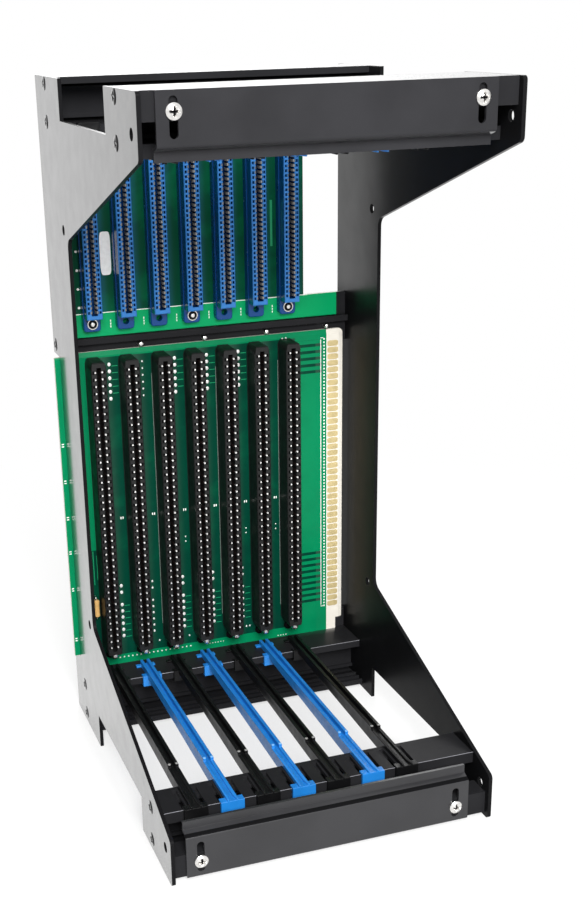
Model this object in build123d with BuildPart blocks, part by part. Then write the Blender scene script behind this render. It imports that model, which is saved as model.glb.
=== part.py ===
"""Card cage for seven plug-in circuit boards, in millimetres.

Two C-shaped side plates are tied by four extruded rails and a middle rail.  The rails carry
moulded card guides, and two backplanes at the rear carry a column of card-edge connectors per
slot.  A slotted bar along each front rail keeps the cards in.

The cage stands on the lower edges of its side plates.  X runs to the right, Y to the rear and
Z up.  Sizes across and along the cage are given from its middle plane and from the front edge
of the side plates, and X_SHIFT and Y_SHIFT put the origin under the middle of the whole part.
"""
import os

from build123d import *

# Two places closer than this are the same
SAME = 1e-6

# Side plates
WIDTH = 173.6
DEPTH = 204.4
HEIGHT = 368.8
SHEET = 2.0
NOTCH_FRONT = 54.0
NOTCH_REAR_INSET = 56.6
NOTCH_DEPTH = 20.0
BOTTOM_ARM_HEIGHT = 25.3
TOP_ARM_HEIGHT = 27.3
ARM_CORNER = 3.0
SPINE_DEPTH = 56.4
BOTTOM_BEND_HEIGHT = 75.0
TOP_BEND_HEIGHT = 78.4
BEND_CORNER = 6.0
FRONT_CORNER = 2.0

# Fixing holes of the side plates, from the front edge or the spine's front edge and the nearer end
FIXING_RADIUS = 2.6
ARM_HOLE_Y = 9.5
ARM_HOLE_Z = 17.0
BEND_HOLE_INSET = 8.3
BEND_HOLE_Z = 74.0

# Sides of the small screw heads and ear holes, which are kept as plain prisms
HEAD_SIDES = 9

# Low heads of the screws that hold the side plates to the rails
RAIL_SCREW_HEAD_RADIUS = 3.7
RAIL_SCREW_HEAD_HEIGHT = 0.5

# Walls and levels that the four rails share, measured from the lower end of the plates.  The
# bottom rails stand a little above that end and the top rails lie flush with the upper one.
RAIL_WALL = 2.0
RAIL_WEB = 3.0
RAIL_OUTER_Z = 2.2
DECK_Z = 30.0
PORT_SIZE = 7.0
PORT_GROOVE = 3.3
PORT_OUTER_RISE = 3.5
PORT_INNER_DROP = 5.5

# Front rails
FLANGE_FRONT = 3.5
FLANGE_WALL = 3.0
FLANGE_TOP_Z = 14.4
SHELF_REAR = 16.0
FRONT_FLOOR_REAR = 50.0
FRONT_DECK_FRONT = 18.2
FRONT_DECK_DEPTH = 22.8
FRONT_LIP_DROP = 6.0
FRONT_WEB_SETBACK = 17.3
DECK_SLOT_WIDTH = 2.4
DECK_SLOT_SPREAD = 5.2
DECK_SLOT_MARGIN = 2.8

# Rear rails, measured forward from the face of the backplanes
REAR_DECK_DEPTH = 23.0
REAR_LIP_DROP = 4.2
REAR_FLOOR_LEAD = 5.0
REAR_WEB_SETBACK = 14.5
FLOOR_RIBS = 3
FLOOR_RIB_PITCH = 5.0
FLOOR_RIB_WIDTH = 1.2
FLOOR_RIB_HEIGHT = 1.4
UPSTAND_WALL = 3.0
UPSTAND_RISE = 12.5

# Backplanes
BOARD_SET_IN = 14.4
BOARD_THICKNESS = 2.4
BOARD_END_CLEARANCE = 0.3
BOARD_RIGHT_GAP = 6.8
BOARD_OVERHANG = 3.0
BOARD_SPLIT = 8.5
RECESS_CLEARANCE = 0.4
RECESS_RISE = 9.6
RECESS_HEAD = 1.1
FINGER_GAP = 2.4
FINGER_RISE = 7.5
FINGER_CORNER = 3.0
FINGER_BEVEL = 2.6
FINGER_BEVEL_DROP = 0.9
UPPER_BOARD_HEIGHT = 110.0
UPPER_STRIP_HEIGHT = 13.0
UPPER_STEP_REACH = 11.6

# Middle rail behind the joint of the backplanes
MIDDLE_RAIL_LAP_LOW = 7.5
MIDDLE_RAIL_LAP_HIGH = 12.5
MIDDLE_RAIL_WALL = 3.0
MIDDLE_RIDGE_HEIGHT = 3.6
MIDDLE_RIDGE_GAP = 0.5
MIDDLE_RIDGE_PROUD = 1.6
MIDDLE_PORT_SETBACK = 6.4

# Card slots
SLOT_PITCH = 19.05
FIRST_SLOT_INSET = 16.4
LAST_SLOT_MARGIN = 38.5

# Lower connectors
LOWER_CONTACT_PITCH = 3.9624
LOWER_CONTACT_RISE = 17.6
LOWER_END_MARGIN = 5.3
LOWER_TOP_CLEARANCE = 2.6
LOWER_CONNECTOR_WIDTH = 8.8
LOWER_CONNECTOR_HEIGHT = 14.0
LOWER_CARD_SLOT = 2.6
LOWER_CARD_DEPTH = 9.0
LOWER_SLOT_MARGIN = 2.6
LOWER_END_CHAMFER = 1.6

# Upper connectors
UPPER_CONTACT_PITCH = 2.54
UPPER_CONTACT_RISE = 15.8
UPPER_END_MARGIN = 4.0
UPPER_TOP_CLEARANCE = 0.6
UPPER_CONNECTOR_WIDTH = 8.8
UPPER_CONNECTOR_HEIGHT = 13.0
UPPER_CARD_SLOT = 2.6
UPPER_CARD_DEPTH = 9.0
UPPER_SLOT_MARGIN = 1.8
EAR_WIDTH = 9.6
EAR_LENGTH = 8.0
EAR_HEIGHT = 5.0
EAR_CORNER = 2.0
EAR_HOLE_RADIUS = 1.7
EAR_HOLE_INSET = 4.4
SCREWED_SLOT_STEP = 3
CONNECTOR_EDGE = 0.5
SLOT_MOUTH = 0.6

# Card guides
GUIDE_WIDTH = 5.8
GUIDE_GROOVE = 2.2
GROOVE_FLOOR = 1.2
GUIDE_RIDGE = 3.9
FRONT_RIDGE = 2.3
GUIDE_SKIRT_FRONT = 4.8
GUIDE_SKIRT_REAR = 0.8
GUIDE_WALL = 1.2
GUIDE_STEP_Y = 56.0
GUIDE_END_CLEARANCE = 0.6
CLIP_WALL = 2.0
CLIP_GAP = 0.2
CLIP_HOOK = 1.0
CLIP_HOOK_REACH = 1.4
FRONT_CLIP_WIDTH = 12.4
REAR_CLIP_WIDTH = 11.5
FRONT_CLIP_DEPTH = 4.5
REAR_FOOT_DEPTH = 3.0
MOUTH_WIDTH = 4.0
MOUTH_LENGTH = 4.0

# Retainer bars
BAR_LEFT_GAP = 6.3
BAR_RIGHT_GAP = 10.8
BAR_SHEET = 1.6
BAR_EDGE_Z = 2.2
BAR_JOGGLE_Z = 23.5
BAR_JOGGLE_RISE = 1.8
BAR_LIP_Z = 30.7
BAR_SET_BACK = 5.2
BAR_SLIDE_GAP = 0.1
BAR_SLOT_WIDTH = 3.8
BAR_SLOT_LOW = 4.5
BAR_SLOT_HIGH = 21.2
BAR_SCREW_Z = 10.5
BAR_SCREW_INSET = 7.4

# Pan-head screws of the retainer bars
BAR_SCREW_RADIUS = 1.6
BAR_SCREW_CLEARANCE = 0.1
BAR_SCREW_HEAD_RADIUS = 3.45
BAR_SCREW_HEAD_HEIGHT = 2.2
BAR_SCREW_TIP = 2.0

# Heads of the screws in the backplanes, the connector ears and the middle rail
BOARD_SCREW_HEAD_RADIUS = 2.7
BOARD_SCREW_HEAD_HEIGHT = 1.9
BOARD_SCREW_RISE = 7.6
EAR_SCREW_HEAD_RADIUS = 1.9
EAR_SCREW_HEAD_HEIGHT = 1.2
WASHER_RADIUS = 3.1
WASHER_THICKNESS = 0.6
MIDDLE_PIN_INSET = 44.3
MIDDLE_PIN_PITCH = 37.4
MIDDLE_PIN_MARGIN = 12.0
MIDDLE_PIN_HEAD_RADIUS = 1.4
MIDDLE_PIN_HEAD_HEIGHT = 4.5

# Resistor at the left of the first lower connector
RESISTOR_OFFSET = 7.2
RESISTOR_RISE = 39.4
RESISTOR_RADIUS = 2.0
RESISTOR_LENGTH = 10.5
RESISTOR_SPAN = 15.0
RESISTOR_LEAD = 0.8
RESISTOR_LIFT = 0.3

# Places that follow from the sizes above
PLATE_INNER = WIDTH / 2 - SHEET
RAIL_LENGTH = 2 * PLATE_INNER
NOTCH_REAR = DEPTH - NOTCH_REAR_INSET
SPINE_FRONT = DEPTH - SPINE_DEPTH
ARM_ENDS_Z = (BOTTOM_ARM_HEIGHT, HEIGHT - TOP_ARM_HEIGHT)
BENDS_Z = (BOTTOM_BEND_HEIGHT, HEIGHT - TOP_BEND_HEIGHT)
BOARD_FRONT = DEPTH - BOARD_SET_IN
BOARD_REAR = BOARD_FRONT + BOARD_THICKNESS
FRONT_WEB_Y = FRONT_DECK_FRONT + FRONT_WEB_SETBACK
FRONT_DECK_REAR = FRONT_DECK_FRONT + FRONT_DECK_DEPTH
REAR_DECK_FRONT = BOARD_FRONT - REAR_DECK_DEPTH
REAR_FLOOR_FRONT = REAR_DECK_FRONT - REAR_FLOOR_LEAD
REAR_WEB_Y = REAR_DECK_FRONT + REAR_WEB_SETBACK
PORTS_Z = (RAIL_OUTER_Z + PORT_OUTER_RISE, DECK_Z - PORT_INNER_DROP)

# Across: as many card slots as the width takes, then the edges of the boards and bars
SLOTS = 1 + int((RAIL_LENGTH - FIRST_SLOT_INSET - LAST_SLOT_MARGIN) / SLOT_PITCH)
SLOT_X = [FIRST_SLOT_INSET - PLATE_INNER + SLOT_PITCH * k for k in range(SLOTS)]
SCREWED_SLOTS = range(0, SLOTS, SCREWED_SLOT_STEP)
BOARD_LEFT = BOARD_END_CLEARANCE - PLATE_INNER
BOARD_RIGHT = PLATE_INNER - BOARD_RIGHT_GAP
FINGER_EDGE = PLATE_INNER - FINGER_GAP
UPPER_BOARD_STEP = SLOT_X[-1] + UPPER_STEP_REACH
BAR_LEFT = BAR_LEFT_GAP - PLATE_INNER
BAR_RIGHT = PLATE_INNER - BAR_RIGHT_GAP
BAR_SCREWS_X = (BAR_LEFT + BAR_SCREW_INSET, BAR_RIGHT - BAR_SCREW_INSET)

# Upwards: what is at z below is at TOP_LEVEL - z above.  The upper board hangs from the top deck,
# and the lower one fills what is left.
TOP_LEVEL = HEIGHT + RAIL_OUTER_Z
UPPER_BOARD_TOP = TOP_LEVEL - DECK_Z
UPPER_BOARD_LOW = UPPER_BOARD_TOP - UPPER_BOARD_HEIGHT
UPPER_STRIP_TOP = UPPER_BOARD_LOW + UPPER_STRIP_HEIGHT
LOWER_BOARD_TOP = UPPER_BOARD_LOW - BOARD_SPLIT
RECESS_LOW = DECK_Z + RECESS_RISE
RECESS_HIGH = LOWER_BOARD_TOP - RECESS_HEAD
FINGER_LOW = DECK_Z + FINGER_RISE
BOARD_SCREW_Z = DECK_Z + BOARD_SCREW_RISE
MIDDLE_RIDGE_HIGH = UPPER_BOARD_LOW - MIDDLE_RIDGE_GAP
MIDDLE_RIDGE_LOW = MIDDLE_RIDGE_HIGH - MIDDLE_RIDGE_HEIGHT
MIDDLE_RAIL_REAR = BOARD_REAR + MIDDLE_RAIL_WALL
MIDDLE_PORT_Y = BOARD_REAR + MIDDLE_PORT_SETBACK
MIDDLE_PORT_Z = (LOWER_BOARD_TOP + UPPER_BOARD_LOW) / 2

# Contact rows: as many contacts as each board has room for
LOWER_CONTACT_LOW = DECK_Z + LOWER_CONTACT_RISE
LOWER_ROOM = LOWER_BOARD_TOP - LOWER_TOP_CLEARANCE - LOWER_END_MARGIN - LOWER_CONTACT_LOW
LOWER_ROW = LOWER_CONTACT_PITCH * int(LOWER_ROOM / LOWER_CONTACT_PITCH)
UPPER_CONTACT_LOW = UPPER_BOARD_LOW + UPPER_CONTACT_RISE
UPPER_ROOM = UPPER_BOARD_TOP - UPPER_TOP_CLEARANCE - EAR_LENGTH - UPPER_END_MARGIN - UPPER_CONTACT_LOW
UPPER_ROW = UPPER_CONTACT_PITCH * int(UPPER_ROOM / UPPER_CONTACT_PITCH)
UPPER_BODY_LOW = UPPER_CONTACT_LOW - UPPER_END_MARGIN
UPPER_BODY_LENGTH = UPPER_ROW + 2 * UPPER_END_MARGIN
EAR_HOLES_Z = (
    UPPER_BODY_LOW - EAR_LENGTH + EAR_HOLE_INSET,
    UPPER_BODY_LOW + UPPER_BODY_LENGTH + EAR_LENGTH - EAR_HOLE_INSET,
)

# Front to rear: the guides end ahead of the ear screws, and the bars lie on the front flanges
EAR_FRONT = BOARD_FRONT - EAR_HEIGHT
EAR_SCREW_FRONT = EAR_FRONT - WASHER_THICKNESS - EAR_SCREW_HEAD_HEIGHT
GUIDE_REAR = EAR_SCREW_FRONT - GUIDE_END_CLEARANCE
BAR_REAR = FLANGE_FRONT - BAR_SLIDE_GAP
BAR_FRONT = BAR_REAR - BAR_SHEET
BAR_HEAD_SEAT = BAR_FRONT - BAR_SLIDE_GAP

# The whole part reaches from the board's overhang to the right screw heads
CAGE_FRONT = min(0.0, BAR_HEAD_SEAT - BAR_SCREW_HEAD_HEIGHT)
X_SHIFT = (max(BOARD_OVERHANG, RAIL_SCREW_HEAD_HEIGHT) - RAIL_SCREW_HEAD_HEIGHT) / 2
Y_SHIFT = -(CAGE_FRONT + DEPTH) / 2


def side_plane(x):
    """Plane across the cage at x, with Y and Z as its own axes and +X as its normal."""
    return Plane(origin=(X_SHIFT + x, Y_SHIFT, 0), x_dir=(0, 1, 0), z_dir=(1, 0, 0))


def front_plane(y):
    """Plane facing the front at depth y, with X and Z as its own axes and -Y as its normal."""
    return Plane(origin=(X_SHIFT, Y_SHIFT + y, 0), x_dir=(1, 0, 0), z_dir=(0, -1, 0))


def front_seat(x, y, z):
    """Plane at one point, facing the front."""
    return Plane(origin=(X_SHIFT + x, Y_SHIFT + y, z), x_dir=(1, 0, 0), z_dir=(0, -1, 0))


def plan_plane(z, top):
    """Level plane at height z, or at its twin above, facing away from the cage's nearer end."""
    facing = -1 if top else 1
    origin = (X_SHIFT, Y_SHIFT, level(z, top))
    return Plane(origin=origin, x_dir=(1, 0, 0), z_dir=(0, 0, facing))


def level(z, top):
    """Height z of the bottom rails, or the height of its twin on the top rails."""
    return TOP_LEVEL - z if top else z


def wall(y0, y1, z0, z1, top):
    """One straight wall of a section in the side plane."""
    with Locations(((y0 + y1) / 2, level((z0 + z1) / 2, top))):
        Rectangle(y1 - y0, z1 - z0)


def screw_ports(y, top):
    """The two screw ports of a rail: square bosses, each with a groove open to the front."""
    for z in PORTS_Z:
        wall(y - PORT_SIZE / 2, y + PORT_SIZE / 2, z - PORT_SIZE / 2, z + PORT_SIZE / 2, top)
    for z in PORTS_Z:
        port_groove(y - PORT_SIZE / 2, y + PORT_GROOVE / 2, level(z, top))


def port_groove(y0, y1, z):
    """Groove of one screw port, cut out of the section."""
    with Locations(((y0 + y1) / 2, z)):
        Rectangle(y1 - y0, PORT_GROOVE, mode=Mode.SUBTRACT)


def pan_head(seat, reach):
    """Round head that rests on the seat plane, with a plain shank behind it."""
    with BuildSketch(seat) as head:
        Circle(BAR_SCREW_HEAD_RADIUS)
    extrude(head.sketch, amount=BAR_SCREW_HEAD_HEIGHT)
    with BuildSketch(seat) as shank:
        Circle(BAR_SCREW_RADIUS)
    extrude(shank.sketch, amount=-reach)


def small_head(seat, radius, height):
    """Plain many-sided head standing on the seat plane."""
    with BuildSketch(seat) as disc:
        RegularPolygon(radius, HEAD_SIDES)
    extrude(disc.sketch, amount=height)


def save(piece, name):
    """Name a finished piece and write it."""
    piece.part.label = name
    export_step(piece.part, f"parts/{name}.step")


os.makedirs("parts", exist_ok=True)


# Side plates
def plate_outline(recessed):
    """Corners of a side plate as (y, z).

    Both ends are notched alike, and the recess in the rear edge lets the lower backplane through.
    """
    end = [
        (0, 0),
        (NOTCH_FRONT, 0),
        (NOTCH_FRONT, NOTCH_DEPTH),
        (NOTCH_REAR, NOTCH_DEPTH),
        (NOTCH_REAR, 0),
        (DEPTH, 0),
    ]
    recess_front = BOARD_FRONT - RECESS_CLEARANCE
    recess = [
        (DEPTH, RECESS_LOW),
        (recess_front, RECESS_LOW),
        (recess_front, RECESS_HIGH),
        (DEPTH, RECESS_HIGH),
    ]
    front = [
        (0, ARM_ENDS_Z[1]),
        (SPINE_FRONT, BENDS_Z[1]),
        (SPINE_FRONT, BENDS_Z[0]),
        (0, ARM_ENDS_Z[0]),
    ]
    far_end = [(y, HEIGHT - z) for y, z in reversed(end)]
    return end + (recess if recessed else []) + far_end + front


def corners(outline, y, heights):
    """The corners of a plate's outline at depth y and at the given heights."""
    at_depth = [v for v in outline.vertices() if abs(v.X - y) < SAME]
    return [v for v in at_depth if min(abs(v.Y - z) for z in heights) < SAME]


RAIL_SCREWS_YZ = [
    (y, level(z, top)) for y in (FRONT_WEB_Y, REAR_WEB_Y) for z in PORTS_Z for top in (False, True)
] + [(MIDDLE_PORT_Y, MIDDLE_PORT_Z)]
FIXINGS_YZ = [(ARM_HOLE_Y, z) for z in (ARM_HOLE_Z, HEIGHT - ARM_HOLE_Z)] + [
    (SPINE_FRONT + BEND_HOLE_INSET, z) for z in (BEND_HOLE_Z, HEIGHT - BEND_HOLE_Z)
]

for side, name in ((-1, "left"), (1, "right")):
    with BuildPart() as plate:
        with BuildSketch(side_plane(side * WIDTH / 2)) as outline:
            with BuildLine():
                Polyline(*plate_outline(recessed=side < 0), close=True)
            make_face()
            fillet(corners(outline, SPINE_FRONT, BENDS_Z), BEND_CORNER)
            fillet(corners(outline, 0, ARM_ENDS_Z), ARM_CORNER)
            fillet(corners(outline, 0, (0, HEIGHT)), FRONT_CORNER)
            with Locations(*FIXINGS_YZ):
                Circle(FIXING_RADIUS, mode=Mode.SUBTRACT)
        extrude(amount=-side * SHEET)
    save(plate, f"{name}_side_plate")

    with BuildPart() as plate_screws:
        for y, z in RAIL_SCREWS_YZ:
            seat = Plane(
                origin=(X_SHIFT + side * WIDTH / 2, Y_SHIFT + y, z),
                x_dir=(0, 1, 0),
                z_dir=(side, 0, 0),
            )
            small_head(seat, RAIL_SCREW_HEAD_RADIUS, RAIL_SCREW_HEAD_HEIGHT)
    save(plate_screws, f"{name}_plate_screws")

# Front rails: floor, front flange with its shelf, web and deck with a hanging lip
for top, name in ((False, "bottom"), (True, "top")):
    with BuildPart() as front_rail:
        with BuildSketch(side_plane(-PLATE_INNER)):
            web_front = FRONT_WEB_Y - RAIL_WEB / 2
            web_rear = FRONT_WEB_Y + RAIL_WEB / 2
            wall(FLANGE_FRONT, FRONT_FLOOR_REAR, RAIL_OUTER_Z, RAIL_OUTER_Z + RAIL_WALL, top)
            wall(FLANGE_FRONT, FLANGE_FRONT + FLANGE_WALL, RAIL_OUTER_Z, FLANGE_TOP_Z, top)
            wall(FLANGE_FRONT, SHELF_REAR, FLANGE_TOP_Z - RAIL_WALL, FLANGE_TOP_Z, top)
            wall(web_front, web_rear, RAIL_OUTER_Z, DECK_Z, top)
            wall(FRONT_DECK_FRONT, FRONT_DECK_REAR, DECK_Z - RAIL_WALL, DECK_Z, top)
            wall(FRONT_DECK_FRONT, FRONT_DECK_FRONT + RAIL_WALL, DECK_Z - FRONT_LIP_DROP, DECK_Z, top)
            screw_ports(FRONT_WEB_Y, top)
        extrude(amount=RAIL_LENGTH)
        # Slots in the deck on either side of each guide, over the screw port to near the rear edge
        slot_front = FRONT_DECK_FRONT + RAIL_WALL
        slot_rear = FRONT_DECK_REAR - DECK_SLOT_MARGIN
        slot_y = (slot_front + slot_rear) / 2
        with BuildSketch(plan_plane(DECK_Z, top)):
            for x in SLOT_X:
                for spread in (-DECK_SLOT_SPREAD, DECK_SLOT_SPREAD):
                    with Locations((x + spread, -slot_y if top else slot_y)):
                        Rectangle(DECK_SLOT_WIDTH, slot_rear - slot_front)
        extrude(amount=-RAIL_WALL, mode=Mode.SUBTRACT)
        # Threaded holes for the retainer screws
        with BuildSketch(front_plane(FLANGE_FRONT)):
            with Locations(*[(x, level(BAR_SCREW_Z, top)) for x in BAR_SCREWS_X]):
                Circle(BAR_SCREW_RADIUS + BAR_SCREW_CLEARANCE)
        extrude(amount=-FLANGE_WALL, mode=Mode.SUBTRACT)
    save(front_rail, f"{name}_front_rail")

# Rear rails: ribbed floor, web, deck with a lip and an upstand behind the backplane
for top, name in ((False, "bottom"), (True, "top")):
    with BuildPart() as rear_rail:
        with BuildSketch(side_plane(-PLATE_INNER)):
            upstand_rear = BOARD_REAR + UPSTAND_WALL
            wall(REAR_FLOOR_FRONT, upstand_rear, RAIL_OUTER_Z, RAIL_OUTER_Z + RAIL_WALL, top)
            for k in range(FLOOR_RIBS):
                rib_front = REAR_FLOOR_FRONT + k * FLOOR_RIB_PITCH
                wall(rib_front, rib_front + FLOOR_RIB_WIDTH, RAIL_OUTER_Z,
                     RAIL_OUTER_Z + RAIL_WALL + FLOOR_RIB_HEIGHT, top)
            wall(REAR_WEB_Y - RAIL_WEB / 2, REAR_WEB_Y + RAIL_WEB / 2, RAIL_OUTER_Z, DECK_Z, top)
            wall(REAR_DECK_FRONT, upstand_rear, DECK_Z - RAIL_WALL, DECK_Z, top)
            wall(REAR_DECK_FRONT, REAR_DECK_FRONT + RAIL_WALL, DECK_Z - REAR_LIP_DROP, DECK_Z, top)
            wall(BOARD_REAR, upstand_rear, DECK_Z - RAIL_WALL, DECK_Z + UPSTAND_RISE, top)
            screw_ports(REAR_WEB_Y, top)
        extrude(amount=RAIL_LENGTH)
    save(rear_rail, f"{name}_rear_rail")

# Middle rail: flat bar behind both backplanes, a ridge between them and a screw port
with BuildPart() as middle_rail:
    with BuildSketch(side_plane(-PLATE_INNER)):
        rail_low = LOWER_BOARD_TOP - MIDDLE_RAIL_LAP_LOW
        rail_high = UPPER_BOARD_LOW + MIDDLE_RAIL_LAP_HIGH
        port_low = MIDDLE_PORT_Z - PORT_SIZE / 2
        port_rear = MIDDLE_PORT_Y + PORT_SIZE / 2
        wall(BOARD_REAR, MIDDLE_RAIL_REAR, rail_low, rail_high, False)
        wall(BOARD_FRONT - MIDDLE_RIDGE_PROUD, BOARD_REAR, MIDDLE_RIDGE_LOW, MIDDLE_RIDGE_HIGH, False)
        wall(MIDDLE_RAIL_REAR, port_rear, port_low, port_low + PORT_SIZE, False)
        port_groove(MIDDLE_PORT_Y - PORT_GROOVE / 2, port_rear, MIDDLE_PORT_Z)
    extrude(amount=RAIL_LENGTH)
save(middle_rail, "middle_rail")

# Lower backplane: overhangs through the left plate and has a bevelled finger edge at the right
with BuildPart() as lower_backplane:
    with BuildSketch(front_plane(BOARD_REAR)):
        overhang_left = -WIDTH / 2 - BOARD_OVERHANG
        with BuildLine():
            Polyline(
                (BOARD_LEFT, DECK_Z),
                (BOARD_RIGHT, DECK_Z),
                (BOARD_RIGHT, FINGER_LOW),
                (FINGER_EDGE, FINGER_LOW),
                (FINGER_EDGE, LOWER_BOARD_TOP),
                (BOARD_LEFT, LOWER_BOARD_TOP),
                (BOARD_LEFT, RECESS_HIGH - RECESS_CLEARANCE),
                (overhang_left, RECESS_HIGH - RECESS_CLEARANCE),
                (overhang_left, RECESS_LOW + RECESS_CLEARANCE),
                (BOARD_LEFT, RECESS_LOW + RECESS_CLEARANCE),
                close=True,
            )
        make_face()
    extrude(amount=BOARD_THICKNESS)
    finger_face = lower_backplane.faces().sort_by(Axis.X)[-1]
    top_corner = finger_face.edges().filter_by(Axis.Y).sort_by(Axis.Z)[-1]
    fillet(top_corner, FINGER_CORNER)
    finger_face = lower_backplane.faces().sort_by(Axis.X)[-1]
    front_edge = finger_face.edges().filter_by(Axis.Z).sort_by(Axis.Y)[0]
    chamfer(front_edge, length=FINGER_BEVEL_DROP, length2=FINGER_BEVEL,
            reference=finger_face)
save(lower_backplane, "lower_backplane")

# Upper backplane: full width along its lower strip, cut away at the upper right
with BuildPart() as upper_backplane:
    with BuildSketch(front_plane(BOARD_REAR)):
        with BuildLine():
            Polyline(
                (BOARD_LEFT, UPPER_BOARD_LOW),
                (BOARD_RIGHT, UPPER_BOARD_LOW),
                (BOARD_RIGHT, UPPER_STRIP_TOP),
                (UPPER_BOARD_STEP, UPPER_STRIP_TOP),
                (UPPER_BOARD_STEP, UPPER_BOARD_TOP),
                (BOARD_LEFT, UPPER_BOARD_TOP),
                close=True,
            )
        make_face()
    extrude(amount=BOARD_THICKNESS)
save(upper_backplane, "upper_backplane")


# Connectors
def card_opening(connector, x, z, front_y, width, length, depth):
    """Ease the front edges of a connector and cut its card slot with a wider mouth."""
    front_face = connector.faces().sort_by(Axis.Y)[0]
    chamfer(front_face.edges(), CONNECTOR_EDGE)
    with BuildSketch(front_plane(front_y)) as opening:
        with Locations((x, z)):
            Rectangle(width, length)
    extrude(opening.sketch, amount=-depth, mode=Mode.SUBTRACT)
    front_face = connector.faces().sort_by(Axis.Y)[0]
    chamfer(front_face.inner_wires()[0].edges(), SLOT_MOUTH)


for k, x in enumerate(SLOT_X):
    row_middle = LOWER_CONTACT_LOW + LOWER_ROW / 2
    with BuildPart() as lower_connector:
        with BuildSketch(front_plane(BOARD_FRONT)) as footprint:
            with Locations((x, row_middle)):
                Rectangle(LOWER_CONNECTOR_WIDTH, LOWER_ROW + 2 * LOWER_END_MARGIN)
            chamfer(footprint.vertices(), LOWER_END_CHAMFER)
        extrude(amount=LOWER_CONNECTOR_HEIGHT)
        card_opening(lower_connector, x, row_middle, BOARD_FRONT - LOWER_CONNECTOR_HEIGHT,
                     LOWER_CARD_SLOT, LOWER_ROW + 2 * LOWER_SLOT_MARGIN, LOWER_CARD_DEPTH)
    save(lower_connector, f"lower_connector_{k + 1}")

    row_middle = UPPER_CONTACT_LOW + UPPER_ROW / 2
    with BuildPart() as upper_connector:
        with BuildSketch(front_plane(BOARD_FRONT)):
            with Locations((x, row_middle)):
                Rectangle(UPPER_CONNECTOR_WIDTH, UPPER_BODY_LENGTH)
        extrude(amount=UPPER_CONNECTOR_HEIGHT)
        card_opening(upper_connector, x, row_middle, BOARD_FRONT - UPPER_CONNECTOR_HEIGHT,
                     UPPER_CARD_SLOT, UPPER_ROW + 2 * UPPER_SLOT_MARGIN, UPPER_CARD_DEPTH)
        with BuildSketch(front_plane(BOARD_FRONT)) as ears:
            with Locations((x, row_middle)):
                Rectangle(EAR_WIDTH, UPPER_BODY_LENGTH + 2 * EAR_LENGTH)
            chamfer(ears.vertices(), EAR_CORNER)
            if k not in SCREWED_SLOTS:
                with Locations(*[(x, z) for z in EAR_HOLES_Z]):
                    RegularPolygon(EAR_HOLE_RADIUS, HEAD_SIDES, mode=Mode.SUBTRACT)
        extrude(amount=EAR_HEIGHT)
    save(upper_connector, f"upper_connector_{k + 1}")


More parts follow.
